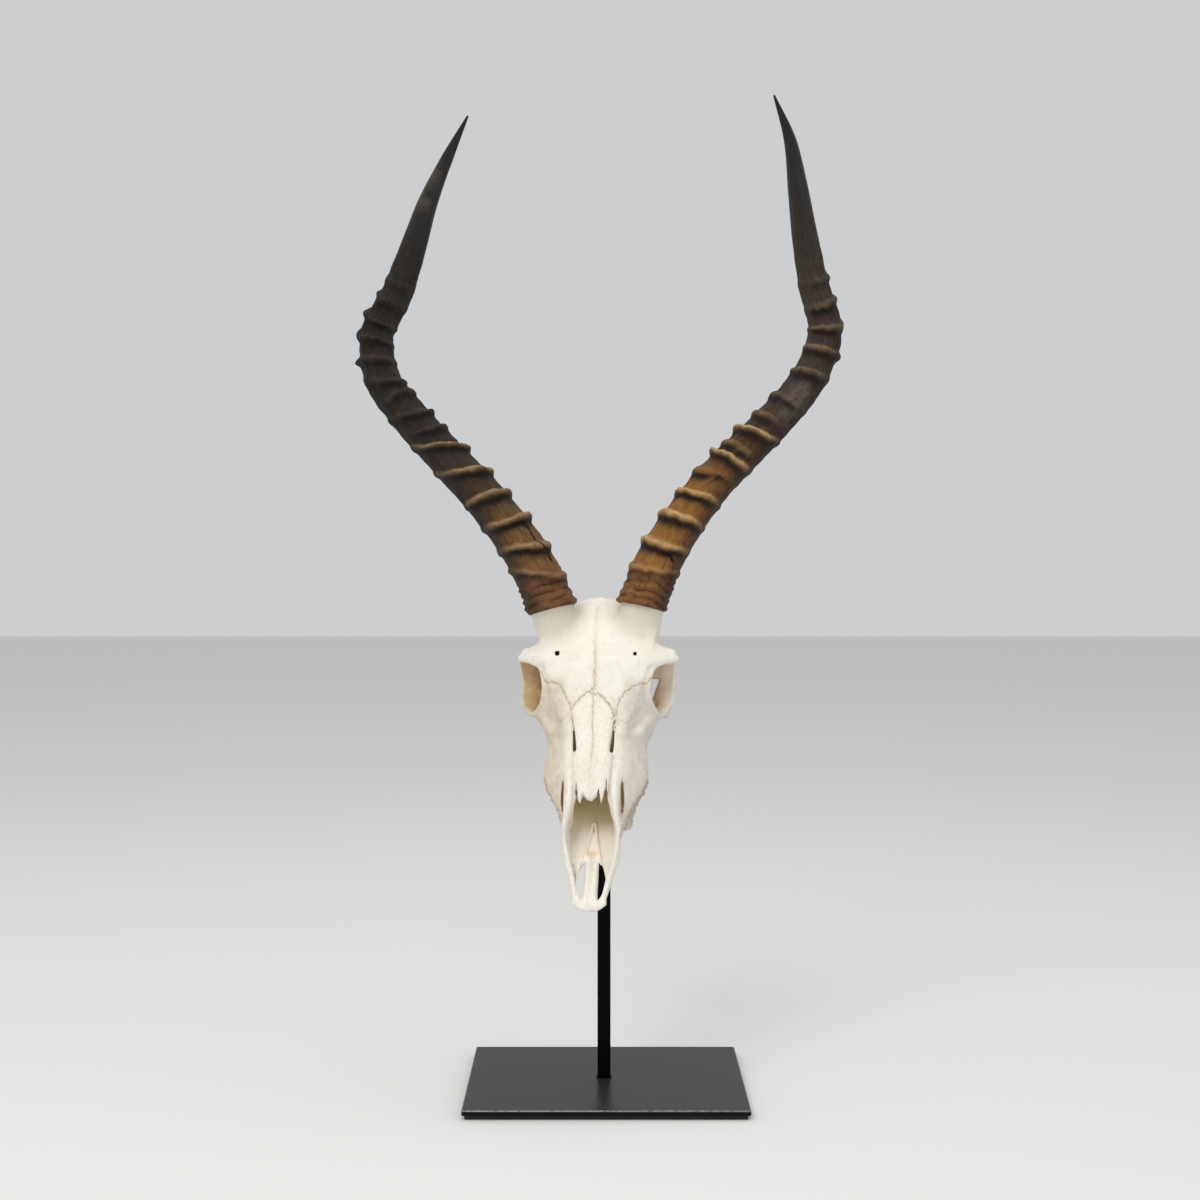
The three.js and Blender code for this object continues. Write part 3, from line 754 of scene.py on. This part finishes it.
def shapeNose(clay):
    # the inside, open at the front
    clay.cut(face(faceSet["wall"], (30, 128)), 2)
    clay.cut(rod([[0, 26, 120, 12, 14], [0, 24, 138, 9, 11], [0, 14, 166, 8, 8], [0, 10, 178, 8, 7]]), 2)
    # nasal bones, two low ridges with a groove between them
    clay.add(rod([[4.6, 32.5, 58, 4.4, 2.0], [5.2, 37.8, 68, 5.4, 2.4], [6.6, 46.6, 92, 6.8, 3.2],
                  [7.2, 52.4, 116, 7.4, 3.6], [6.8, 56.0, 130, 6.6, 3.2], [4.5, 58.0, 139, 4, 1.8]]), 1.6)
    # premaxilla bar, from the nose tip up beside the nasal bone
    clay.add(rod([[8.6, 5, 9, 2.6, 2.8], [10.3, 5.6, 13, 2.2, 3.2], [12.9, 7.4, 24, 2.2, 4],
                  [16.2, 11.4, 35, 2.7, 5.5], [18.4, 16, 46, 2.6, 7], [18.3, 19.5, 53, 2.7, 8.4],
                  [16.7, 23.5, 61, 3.4, 9.2], [15.4, 30, 72, 3.9, 8.4], [15.4, 34.5, 84, 3.6, 6.5],
                  [16, 38, 96, 2.5, 4]]), 2)
    clay.cut(rod([[0, 12, 21, 8.5, 6.5], [0, 16, 30, 11.4, 10.4], [0, 20.5, 38, 13.8, 14.6],
                  [0, 24, 44, 15.2, 18], [0, 25, 48, 15.4, 19]], 6, 4), 1)
    clay.cut(rod([[0, 19, 58, 13.2, 13], [0, 20, 66, 12.6, 14], [0, 21.5, 76, 13.5, 14.5]], 6, 4), 1.5)
    clay.cut(rod([[20.3, 25, 64.5, 0.25, 5], [20.6, 29, 70, 0.8, 7], [20.5, 33, 76, 0.75, 7],
                  [20.2, 37, 82, 0.25, 5]]), 0.6)
    clay.cut(ball(0, -5, 112, 17, 10, 46), 2)


def shapeEye(clay):
    # brow, and the hollow of the temple
    clay.add(rod([[28, 66.5, 169, 12, 5.5], [42, 63, 169.5, 9, 4.8], [49.5, 59.6, 169.8, 5.2, 3.2],
                  [55.6, 56, 169.8, 2.5, 1.9]]), 3)
    clay.cut(ball(46, 34, 191, 12, 26, 24), 5)
    clay.cut(ball(13.9, 54.5, 103.5, 0.8, 8, 7.5), 0.8)
    # bar behind the eye, floor of the socket, cheek arch, then the socket itself in one clean cut
    clay.add(ball(47.4, 44, 172.2, 8.6, 18.5, 5.6, 4), 2.5)
    clay.add(ball(46.0, 29, 160, 8.4, 4.4, 14, 4), 3)
    clay.add(ball(47.2, 33, 168.5, 8.4, 7.5, 7.5, 3), 3)
    clay.add(rod([[31, 36, 119, 3, 6], [36.6, 36, 130, 3.4, 6], [42.2, 34, 138.6, 3.6, 5.4],
                  [47.6, 31, 148, 3.6, 4.6]]), 4)
    clay.add(rod([[50, 29, 144, 3, 6], [53, 27, 158, 2.8, 5], [51, 24, 175, 3, 5], [43.5, 21, 187, 4.6, 4.6],
                  [31, 20, 198, 6, 6]]), 4)
    rim = [[36.8, 57.5, 148], [38.5, 61, 158], [47, 60.5, 167], [54.9, 55.4, 170.8], [55, 44, 171.8],
           [53, 32, 158], [51.2, 30, 145], [46.4, 34, 137.8], [41.4, 42, 136.6], [38.0, 51, 140.5],
           [36.8, 57.5, 148], [38.5, 61, 158]]
    clay.add(rod([[*p, 1.9, 1.8] for p in rim], 4), 2.5)
    clay.cut(ball(*socketSet["ball"]), 0.8)
    clay.cut(rod([[45, 49.5, 160, 3.5, 4], [51.5, 51.8, 165, 3.2, 4], [59, 53.4, 168.3, 3, 3.4]]), 1.5)
    clay.cut(ball(29.5, 42, 158.5, 5, 2.0, 2.9), 1.2)
    clay.cut(gapCut(), 2)


def shapeBase(clay):
    # the bone that holds the teeth, then back to the condyle, the side peg and the crest of the nape
    clay.add(rod([[21.5, 4, 64, 3.4, 4.2], [26, 4, 110, 6, 4.4], [26.6, 4, 151, 6, 4.4]]), 3)
    clay.add(rod([[22.5, 12, 70, 3.6, 7], [27.5, 12, 84, 4, 8], [32, 12, 97, 3, 8]]), 3)
    clay.add(rod([[11, 10, 143, 1.8, 8], [11, 11, 166, 1.8, 9], [11, 17, 184, 2.4, 8]]), 3)
    clay.add(rod([[0, 14, 168, 13, 7], [0, 17, 196, 15, 7], [0, 22, 219, 15, 8]]), 4)
    clay.add(ball(21, 14, 205, 7, 9, 10), 2)
    clay.add(ball(10.5, 20.5, 222.5, 6.6, 8.6, 7.6), 3.5)
    clay.add(rod([[25, 22, 216, 4, 6], [24, 6, 221, 3, 4], [23, -4, 222, 1.2, 1.6]]), 3)
    clay.add(rod([[0, 49, 226, 3, 2.2], [14, 46, 224, 3, 2], [25, 36, 219, 3, 2], [29, 26, 214, 3, 2]]), 4)


def shapePalate(clay):
    # with the two long slots beside the middle bar, and the flat nose tip
    clay.add(rod([[0, 2.8, 10, 8, 2], [0, 2.6, 24, 11, 2], [0, 2.6, 40, 15, 2.1], [0, 3, 62, 20, 2.4],
                  [0, 4, 100, 20, 3.0], [0, 4.6, 126, 17, 2.6]]), 2)
    clay.add(rod([[2.3, 4.0, 4, 2.4, 2.4], [2.3, 4.4, 24, 2.2, 2.3], [2.6, 4.2, 42, 2.8, 2.0]]), 1)
    clay.add(rod([[0, 4.2, 6, 4.6, 2.5], [5, 4.3, 6, 4.6, 2.6], [9.4, 4.8, 7.6, 3.2, 2.6]]), 1.5)
    clay.cut(rod([[5.6, 3, 9.5, 0.7, 8], [7.0, 3, 16, 2.0, 8], [7.4, 3, 24, 2.4, 8], [6.5, 3, 32, 1.8, 8],
                  [4.9, 3, 40.5, 0.5, 8]]), 0.8)
    clay.cut(rod([[0, 7.0, -4, 0.6, 1.6], [0, 6.8, 20, 0.6, 1.3], [0, 6.6, 36, 0.6, 1.3]]), 0.9)
    # vomer: two low splints that part towards the front, and the keel behind them
    clay.add(rod([[0.6, 7, 66, 0.9, 2.6], [3.4, 6.4, 50, 0.8, 2.2], [6.4, 5, 36, 0.9, 1.2]]), 1.5)
    clay.add(rod([[0, 5, 66, 0.8, 2.0], [0, 6, 92, 0.8, 3.2], [0, 13, 122, 1, 8]]), 1.5)


def openHoles(clay):
    # over the eye, on the cheek, beside the nasal bone, and the large one at the back
    clay.cut(ball(27.3, 73, 165, 1.55, 9, 1.2), 0.6)
    clay.cut(rod([[27.4, 73.2, 163, 1.0, 0.9], [26.6, 70.6, 150, 0.8, 0.7]]), 3)
    clay.cut(rod([[37, 12, 86, 1.8, 1.8], [32, 13, 93, 1.4, 1.6]]), 1.2)
    clay.cut(rod([[13.5, 53.5, 113, 0.5, 5], [13.0, 51, 106, 1.0, 5], [12.5, 49.5, 99.5, 1.1, 5]]), 0.8)
    clay.cut(rod([[0, 27, 208, 8, 8], [0, 28.5, 246, 8.4, 8.6]]), 2)


def shapeStumps(clay):
    for base, side in ((leftHornSet["line"], -1), (rightHornSet["line"], 1)):
        start, end = np.array(base[:2], float)
        along = (end - start) / np.linalg.norm(end - start)
        x, h, a = toSkull(start + along * 5)
        rootX, rootH, rootA = side * 25, 54, 184
        clay.add(rod([[rootX, rootH, rootA, 16, 14],
                      [(rootX + x) / 2, (rootH + h) / 2 + 1, (rootA + a) / 2, 15.5, 15],
                      [x, h, a, 15.6, 15.6]]), 5)


def breakTips(clay):  # ragged tips of the nasal bones
    tips = np.array([[-10.6, 80], [-9.7, 74.9], [-7.9, 64.3], [-7.2, 68], [-5.8, 71.5], [-2.7, 68.4],
                     [0.4, 67.2], [2.0, 68.7], [4.8, 71.5], [5.2, 74.5], [5.7, 72], [6.9, 64.3],
                     [9.5, 74.9], [10.2, 80]])

    def tipCut(x, h, a):
        limit = np.interp(x, *tips.T).astype(np.float32)
        return np.maximum(np.maximum((a - limit) * 0.6, 29 - h), np.abs(x) - 10.4)
    clay.cut((np.array((-11, 29, 40)), np.array((11, 60, 82)), tipCut), 0.6)


def breakCheeks(clay):
    def edgeCut(x, h, a):
        inner = 19.8 + 5.1 * eased(63, 69, a)
        return np.maximum(np.maximum(cheekEdge(x, h, a) / 2, inner - np.abs(x)), np.maximum(h - 26, a - 106))
    clay.cut((np.array((-40, -8, 40)), np.array((40, 28, 108)), edgeCut), 0.8)


def drillPostHole(clay):
    def hole(x, h, a):
        up, back = upAndBack(h, a)
        tipX, tipY, tipZ = skullSet["tip"]
        across = tipX + turnCosine * x + turnSine * back - standSet["postX"]
        deep = tipY - turnSine * x + turnCosine * back
        side = standSet["post"] / 2 + 0.35
        return np.maximum(np.maximum(np.abs(across), np.abs(deep)) - side, up + tipZ - standSet["postTop"])
    clay.cut((np.array((-16, -16, 150)), np.array((24, 60, 230)), hole), 0.4)


def shapeSkull():
    clay = Clay(skullSet["low"], skullSet["high"], skullSet["step"])
    for shape in (shapeHead, shapeNose, shapeEye, shapeBase, shapePalate, openHoles):
        shape(clay)
    clay.mirror()
    for shape in (shapeStumps, breakTips, breakCheeks, drillPostHole):
        shape(clay)
    print("skull shaped")
    return clay


seamSet = {  # the side it is read from, its line, and the strength of its line and of its band of pores
    "crown": ("top", [[-1.6, 206], [-1.2, 184], [-0.3, 167]], 0.10, 0.45),
    "frontal": ("top", [[-0.3, 167], [0.1, 156], [-0.4, 149], [0.1, 143], [-0.7, 138.3]], 0.34, 0.75),
    "nasal": ("top", [[-0.7, 138.3], [-0.7, 117], [0.2, 106], [-0.6, 94]], 0.42, 0.3),
    "arch": ("top", [[-15.2, 120.7], [-16.2, 125.3], [-14.4, 130.1], [-11.6, 132.6], [-8.1, 136], [-4.3, 138.6],
                     [-0.8, 137], [2.7, 137.3], [6.6, 134.2], [11.5, 129], [13.7, 125.5], [14.4, 121]], 0.6, 0.5),
    "leftFold": ("top", [[-12.6, 100], [-13.3, 112], [-15.2, 120.7]], 1.2, 0.4),
    "rightFold": ("top", [[12.8, 100], [13.7, 113], [14.4, 121]], 1.2, 0.4),
    "leftTear": ("top", [[-39, 155], [-36, 148.5], [-32.7, 146.6], [-25.1, 144.2], [-21, 138.3], [-17.5, 131],
                         [-16.2, 125.3]], 0.5, 0.6),
    "rightTear": ("top", [[39, 152], [35.6, 147.6], [27.1, 143.4], [20.9, 139.1], [16.9, 132.7], [14.4, 123]],
                  0.5, 0.6),
    "leftCheek": ("top", [[-33, 121], [-27.8, 120.6], [-22.4, 122.6], [-16.4, 124.4]], 0.2, 0.3),
    "rightCheek": ("top", [[33, 120], [27, 119.6], [21, 121], [14.6, 122.4]], 0.2, 0.3),
    "temple": ("side", [[30, 178], [38, 181], [47, 180], [54, 187], [55, 198], [50, 208], [41, 214], [30, 216]],
               0.5, 0.4),
    "archJoint": ("side", [[32, 160], [28, 165], [26, 172], [22, 176], [20, 184]], 0.6, 0.4),
    "nape": ("back", [[-27, 40], [-20, 52], [-11, 58], [-4, 62], [0, 61], [5, 62.5], [12, 58], [20, 51],
                      [27, 40]], 0.5, 0.5),
    "base": ("under", [[-11, 196], [-4, 197.6], [3, 196], [11, 197]], 0.7, 0.4),
    "palate": ("under", [[0, 40], [0.5, 66], [-0.4, 92], [0.2, 128]], 0.6, 0.3),
    "palateCross": ("under", [[-21, 114], [-12, 108], [-5, 103], [0, 104.5], [6, 103], [12, 108], [21, 113]],
                    0.5, 0.3),
}


def seamReading(local, facing, sunk):
    reads = {"top": ((0, 2), eased(44, 50, local[:, 1]) * eased(1.6, 0.8, sunk)),
             "side": ((1, 2), eased(0.3, 0.6, np.abs(facing[:, 0]))),
             "back": ((0, 1), eased(0.3, 0.6, facing[:, 2])),
             "under": ((0, 2), eased(0.3, 0.6, -facing[:, 1]) * eased(34, 28, local[:, 1]))}
    nearest = np.full(len(local), 99.0)
    lineOn, bandOn = np.zeros(len(local)), np.zeros(len(local))
    for view, points, line, band in seamSet.values():
        axes, shows = reads[view]
        spots = local[:, axes]
        for start, end in zip(np.array(points[:-1]), np.array(points[1:])):
            run = end - start
            t = np.clip((spots - start) @ run / (run @ run), 0, 1)
            offset = spots - start - t[:, None] * run
            far = np.hypot(*offset.T) * np.where(run[0] * offset[:, 1] > run[1] * offset[:, 0], 1, -1)
            closer = (np.abs(far) < np.abs(nearest)) & (shows > 0.02)
            nearest = np.where(closer, far, nearest)
            lineOn = np.where(closer, line * shows, lineOn)
            bandOn = np.where(closer, band * shows, bandOn)
    fade = np.exp(-(nearest / 4) ** 2)
    return nearest, lineOn * fade, bandOn * fade


def dropCrumbs(form):  # only the largest connected shell is kept
    waiting = set(form.verts)
    shells = []
    while waiting:
        shell = {waiting.pop()}
        edge = list(shell)
        while edge:
            vert = edge.pop()
            for link in vert.link_edges:
                other = link.other_vert(vert)
                if other not in shell:
                    shell.add(other)
                    edge.append(other)
        waiting -= shell
        shells.append(shell)
    shells.sort(key=len)
    for shell in shells[:-1]:
        bmesh.ops.delete(form, geom=list(shell), context="VERTS")


def bareSkull(clay):
    grid = openvdb.FloatGrid(3.0)
    grid.copyFromArray(np.clip(clay.field, -3, 3))
    points, _, quads = grid.convertToPolygons(isovalue=0.0, adaptivity=0.0)
    low = np.array([axis[0] for axis in clay.axes])
    local = points * clay.step + low
    slopes = np.stack([clay.read(clay.field, local + step) - clay.read(clay.field, local - step)
                       for step in np.eye(3) * 0.6], 1)
    outward = slopes / (np.linalg.norm(slopes, axis=1)[:, None] + 1e-6)
    # gentle unevenness all over, and a broken edge along the front of the cheeks
    rough = eddies(local, 34, 5, 3) * 0.3
    rough += nearEdge(local, 7) * (eddies(local, 5.5, 77, 3) * 1.2 - 0.2)
    local = local + outward * rough[:, None]
    local[:, 0] -= narrowing(local)
    mesh = bpy.data.meshes.new("skull")
    mesh.from_pydata(toObject(local) * mm, [], quads.tolist())
    form = bmesh.new()
    form.from_mesh(mesh)
    dropCrumbs(form)
    writeForm(form, mesh)
    # fewer faces where the bone is flat
    holder = bpy.data.objects.new("rough skull", mesh)
    bpy.context.collection.objects.link(holder)
    fewer = holder.modifiers.new("fewer", "DECIMATE")
    fewer.ratio = min(1, skullSet["triangles"] / (2 * len(mesh.polygons)))
    mesh = bpy.data.meshes.new_from_object(holder.evaluated_get(bpy.context.evaluated_depsgraph_get()))
    bpy.data.objects.remove(holder)
    print("skull faces", len(mesh.polygons))
    return shadeSmooth(mesh)


def skullMesh():
    clay = shapeSkull()
    mesh = bareSkull(clay)
    moved = toSkull(readPoints(mesh) / mm)
    local = moved.copy()
    for _ in range(5):  # back to where each point was before the cheekbone moved in
        local[:, 0] = moved[:, 0] + narrowing(local)
    facing = toSkull(readPoints(mesh, "normal") + skullTip)
    # how much bone stands close round a point: 1 deep in a cavity, 0 on open surface; used to paint shade into
    # cavities
    enclosed = sum(np.clip(1 - clay.read(clay.field, local + facing * reach) / reach, 0, 1)
                   for reach in (1.5, 4, 8)) / 3
    sunk = -clay.read(clay.hull, local)
    side, h, a = np.abs(local[:, 0]), local[:, 1], local[:, 2]
    toCentre = np.stack([46 - side, 46 - h, 154 - a], 1)
    toCentre /= np.linalg.norm(toCentre, axis=1)[:, None]
    inner = (toCentre * facing * np.stack([np.sign(local[:, 0]), np.ones(len(a)), np.ones(len(a))], 1)).sum(1)
    fromSocket = ball(*socketSet["ball"])[2](side, h, a)
    socket = eased(2.6, 1.5, fromSocket) * eased(26, 31, side) * eased(-0.05, 0.3, inner)
    # the optic hole is painted dark all the way in, as painted shade
    optic = eased(0.5, 1.5, fromSocket) * eased(0.5, -0.5, ball(*socketSet["opticHole"])[2](side, h, a))
    enclosed = np.maximum(enclosed, optic)
    # closeness to the horn bases, for the painted shade round them
    stumps = np.min([np.linalg.norm(local - toSkull(np.array(s["line"][0], float)), axis=1)
                     for s in (leftHornSet, rightHornSet)], axis=0)
    seam, seamOn, bandOn = seamReading(local, facing, sunk)
    storeReadings(mesh, {"enclosed": enclosed, "sunk": sunk, "socket": socket, "broken": nearEdge(local, 5.5),
                         "seam": seam, "seamOn": seamOn, "bandOn": bandOn, "stump": eased(34, 16, stumps),
                         "skullPlace": local})
    return mesh


# bone colours; among them painted shade round the horn bases, cheek colours that are partly painted shade, a nose
# lining kept light as painted light, and painted shade for cavities and the holes over the eyes
boneLook = {
    "clean": ((0.88, 0.845, 0.76), (0.85, 0.80, 0.69)), "mottle": (0.76, 0.69, 0.56), "stump": (0.70, 0.64, 0.52),
    "cheekToneAndShade": ((0.64, 0.565, 0.43), (0.65, 0.60, 0.54)), "streak": (0.60, 0.51, 0.38),
    "stainAndLitLining": ((0.95, 0.87, 0.74), (0.97, 0.78, 0.42)), "leftSocket": ((0.57, 0.40, 0.20), (0.37, 0.205, 0.065)),
    "rightSocket": ((0.54, 0.39, 0.26), (0.76, 0.66, 0.55)), "spot": (0.80, 0.50, 0.20),
    "broken": (0.24, 0.15, 0.08), "slit": (0.42, 0.27, 0.12), "lip": (0.70, 0.50, 0.28),
    "band": (0.76, 0.66, 0.49), "line": (0.36, 0.235, 0.11), "pits": (0.50, 0.38, 0.23),
    "deep": (0.27, 0.145, 0.06), "browHoleShade": (0.035, 0.02, 0.012),
}


def boneFinish(look):
    bone = Finish("bleached bone")
    place = bone.stored("skullPlace", "Vector")
    enclosed, sunk, socket = bone.stored("enclosed"), bone.stored("sunk"), bone.stored("socket")
    seam, seamOn, bandOn, broken = (bone.stored(key) for key in ("seam", "seamOn", "bandOn", "broken"))
    x, h, a = (bone.part(place, axis) for axis in range(3))
    broad = bone.noise(place, 0.035, 3.0)
    cloud = bone.noise(place, 0.16, 4.0)
    fine = bone.noise(place, 1.1, 4.0, 0.6)
    tiny = bone.noise(place, 3.5, 3.0, 0.6)
    streak = bone.noise(bone.stretched(place, (0.9, 0.9, 0.09)), 1.0, 4.0, 0.65)
    pore = bone.cells(place, 0.62)
    jag = bone.noise(place, 0.48, 3.0, 0.7)
    clean = bone.blend(broad.smooth(0.35, 0.7), *look["clean"])
    mottled = bone.blend(cloud.smooth(0.5, 0.75) * 0.35, clean, look["mottle"])
    # painted shade round the foot of each horn
    shaded = bone.blend(bone.stored("stump") * (0.5 + 0.4 * cloud), mottled, look["stump"])
    # cheeks and the bone in front of the eyes are painted greyer, partly their own tone and partly painted shade
    # where they slope away, and streaked
    cheek = (x.size().smooth(17, 25) * a.smooth(153, 142) * a.smooth(56, 70) * sunk.smooth(2.5, 1)).held()
    sided = bone.blend(x.smooth(-3, 3), *look["cheekToneAndShade"])
    greyedAndShaded = bone.blend(cheek * (0.65 + 0.35 * cloud.smooth(0.35, 0.65)), shaded, sided)
    streaked = bone.blend(streak.smooth(0.5, 0.68) * a.smooth(150, 135) * 0.45, greyedAndShaded, look["streak"])
    # stained inside the nose, in colours kept light as painted light against the shade in there; inside the eye
    # sockets the colour is ochre on the left and beige on the right, darker towards the inner wall
    nose = sunk.smooth(1.2, 4) * a.smooth(132, 122) * h.smooth(3.2, 5.5) * broken.smooth(0.35, 0.05)
    stainAndLitLining = bone.blend(a.smooth(54, 76), *look["stainAndLitLining"])
    inside = bone.blend(nose * (0.75 + 0.25 * cloud), streaked, stainAndLitLining)
    leftSocket = bone.blend(x.smooth(-53, -41), *look["leftSocket"])
    rightSocket = bone.blend(x.smooth(41, 53), *look["rightSocket"])
    warmSide = bone.blend(x.smooth(-5, 5), leftSocket, rightSocket)
    eyed = bone.blend(socket * (0.82 + 0.18 * cloud.smooth(0.32, 0.6)), inside, warmSide)
    spot = (((x + 0.8).math("POWER", 2) + (a - 43).math("POWER", 2)).smooth(22, 2)
            * h.smooth(16, 9) * h.smooth(3.2, 5))
    orange = bone.blend(spot * (0.5 + 0.5 * fine) * 0.7, eyed, look["spot"])
    crumbled = (broken * (0.1 + 1.1 * fine.smooth(0.42, 0.62))).held()
    ragged = bone.blend(crumbled * 0.85, orange, look["broken"])
    slit = (x.size() - 20.6).size().smooth(2.2, 0.4) * a.smooth(58, 63) * a.smooth(88, 80) * h.smooth(20, 26)
    browned = bone.blend(slit * (0.4 + 0.6 * fine), ragged, look["slit"])
    lipped = bone.blend(a.smooth(7, 2.5) * h.smooth(4.5, 1.5) * 0.6, browned, look["lip"])
    # seams, with a rough pale brown band of pores on both sides
    away = (seam + 4.4 * (jag - 0.5) + 1.6 * (fine - 0.5)).size()
    line = away.smooth(0.60, 0.12) * seamOn * (fine.smooth(0.30, 0.56) * 1.25)
    band = (seam + 5.0 * (fine - 0.5)).size().smooth(3.8, 0.4) * bandOn
    banded = bone.blend(band * 0.75, lipped, look["band"])
    lined = bone.blend((line * (0.5 + 0.6 * tiny)).held(), banded, look["line"])
    pits = pore.smooth(0.28, 0.10) * ((cloud.smooth(0.5, 0.66) + 3.4 * band) * 0.5).held()
    pitted = bone.blend(pits * (0.5 + 0.4 * band), lined, look["pits"])
    # painted shade deep in cavities and holes
    deep = bone.blend(enclosed.smooth(0.74, 0.97), pitted, look["deep"])
    # painted shade in the holes over the eyes
    browHoleShade = (((x.size() - 27.3).math("POWER", 2) + (a - 165).math("POWER", 2)).smooth(9, 6)
                * h.smooth(56, 60))
    dark = bone.blend(browHoleShade * sunk.smooth(0.25, 0.9), deep, look["browHoleShade"])
    height = fine * 0.5 + tiny * 0.3 - pits * 0.9 - line * 1.4 - band * jag * 0.9 + streak * 0.35 * cheek
    return bone.feed({"Base Color": dark, "Roughness": 0.46 + 0.2 * fine,
                      "Normal": bone.bump(height, 0.0007, 0.7), "Specular IOR Level": 0.35})


addPiece("skullBone", skullMesh(), ["skull"], boneFinish(boneLook))

# Upper cheek teeth: three small ones in front and three long ones behind, worn into crescents

toothSet = {"start": 70, "end": 147, "lengths": [9, 11, 11.5, 14, 15.5, 15], "crown": 9.4, "top": 1.4,
            "places": [[70, 21.5], [110, 26.2], [147, 26.8]], "widths": [3.2, 3.8, 4.4, 5.6, 5.6, 5.6],
            "lobes": [1, 1, 1, 2, 2, 2], "seed": 40, "overlap": 0.2}


def toothMesh(name, side, x, a, length, width, lobes, seed):
    form = bmesh.new()
    bmesh.ops.create_cube(form, size=2)
    bmesh.ops.subdivide_edges(form, edges=form.edges, cuts=15, use_grid_fill=True)
    bmesh.ops.triangulate(form, faces=[f for f in form.faces if len(f.verts) > 4])
    chance = np.random.default_rng(seed)
    lean = chance.uniform(-0.05, 0.05)
    pits = []
    for vert in form.verts:
        u, v, w = vert.co.x, vert.co.y, (1 - vert.co.z) / 2
        rounded = math.sqrt(max(0, 1 - 0.22 * v * v)), math.sqrt(max(0, 1 - 0.26 * u ** 4))
        rib = 2 * ((1 + math.cos(math.pi * u * lobes)) / 2) ** 1.8 - 1
        bulge = 1 + (0.15 * rib if v > 0 else -0.14 * rib) * abs(v) ** 2
        waist = 0.93 + 0.09 * math.sin(math.pi * min(1, w * 1.15) * 0.6)
        along = u * length / 2 * rounded[0] * waist
        across = v * width * rounded[1] * bulge * waist
        cusp = 0
        if w > 0.999:
            ridge = math.exp(-((v - 0.78) / 0.20) ** 2) + 0.8 * math.exp(-((v + 0.72) / 0.22) ** 2)
            peak = 0.45 + 0.55 * abs(math.sin(math.pi * (u + 1) / 2 * lobes))
            bowl = math.exp(-((v - 0.05 - 0.35 * math.cos(math.pi * u * lobes)) / 0.16) ** 2)
            edge = (1 - abs(u) ** 6) * (1 - abs(v) ** 8)
            cusp = (1.5 * ridge * peak - 0.9 * bowl) * edge
            pits.append((vert.index, bowl * edge))
        elif abs(v) > 0.9:
            pits.append((vert.index, 0.30 * (1 - rib) / 2 * (1 - abs(u) ** 8)))
        down = w * toothSet["crown"] + cusp
        vert.co = (side * (x + across - lean * down), toothSet["top"] - down, a + along)
    form.verts.index_update()
    mesh = meshFrom(form, name)
    local = readPoints(mesh)
    bowls = np.zeros(len(local))
    for index, bowl in pits:
        bowls[index] = bowl
    storeReadings(mesh, {"bowl": bowls, "crown": -local[:, 1] / toothSet["crown"]})
    mesh.vertices.foreach_set("co", (toObject(local) * mm).ravel())
    form = bmesh.new()
    form.from_mesh(mesh)
    writeForm(form, mesh)
    return shadeSmooth(mesh)


enamelLook = {"clean": ((0.66, 0.57, 0.40), (0.78, 0.71, 0.56)), "neck": (0.26, 0.155, 0.07),
              "worn": (0.10, 0.055, 0.025), "stain": (0.36, 0.24, 0.12)}


def enamelFinish(look):
    enamel = Finish("stained enamel")
    place = enamel.place()
    crown = enamel.stored("crown")
    bowl = enamel.stored("bowl")
    cloud = enamel.noise(place, 320, 4.0)
    line = enamel.noise(place, 900, 3.0, 0.6)
    clean = enamel.blend(cloud, *look["clean"])
    neck = enamel.blend(crown.smooth(0.55, 0.05) * (0.55 + 0.45 * line), clean, look["neck"])
    worn = enamel.blend((bowl * 0.95).held(), neck, look["worn"])
    stain = enamel.blend(line.smooth(0.55, 0.7) * 0.4, worn, look["stain"])
    return enamel.feed({"Base Color": stain, "Roughness": 0.28 + 0.3 * cloud,
                        "Normal": enamel.bump(cloud * 0.5 + line * 0.5, 0.0003, 0.5), "Coat Weight": 0.15})


def buildTeeth(sideName, side, enamel):
    s = toothSet
    spare = (s["end"] - s["start"] - sum(s["lengths"])) / (len(s["lengths"]) - 1)
    a = s["start"]
    for i, (length, width, lobes) in enumerate(zip(s["lengths"], s["widths"], s["lobes"])):
        middle = a + length / 2
        name = f"{sideName}Tooth{i + 1}"
        mesh = toothMesh(name, side, np.interp(middle, *zip(*s["places"])), middle, length + s["overlap"], width,
                         lobes, s["seed"] + i)
        addPiece(name, mesh, [f"{sideName}_tooth_{i + 1}"], enamel)
        a += length + spare


enamel = enamelFinish(enamelLook)
buildTeeth("left", -1, enamel)
buildTeeth("right", 1, enamel)
print("teeth made")

# Floor

floorForm = bmesh.new()
bmesh.ops.create_grid(floorForm, x_segments=1, y_segments=1, size=6)
floorMesh = meshFrom(floorForm, "floor")
floor = bpy.data.objects.new("floor", floorMesh)
bpy.context.collection.objects.link(floor)
paper = Finish("pale floor")
floorMesh.materials.append(paper.feed({"Base Color": (0.80, 0.79, 0.775, 1), "Roughness": 0.9}))
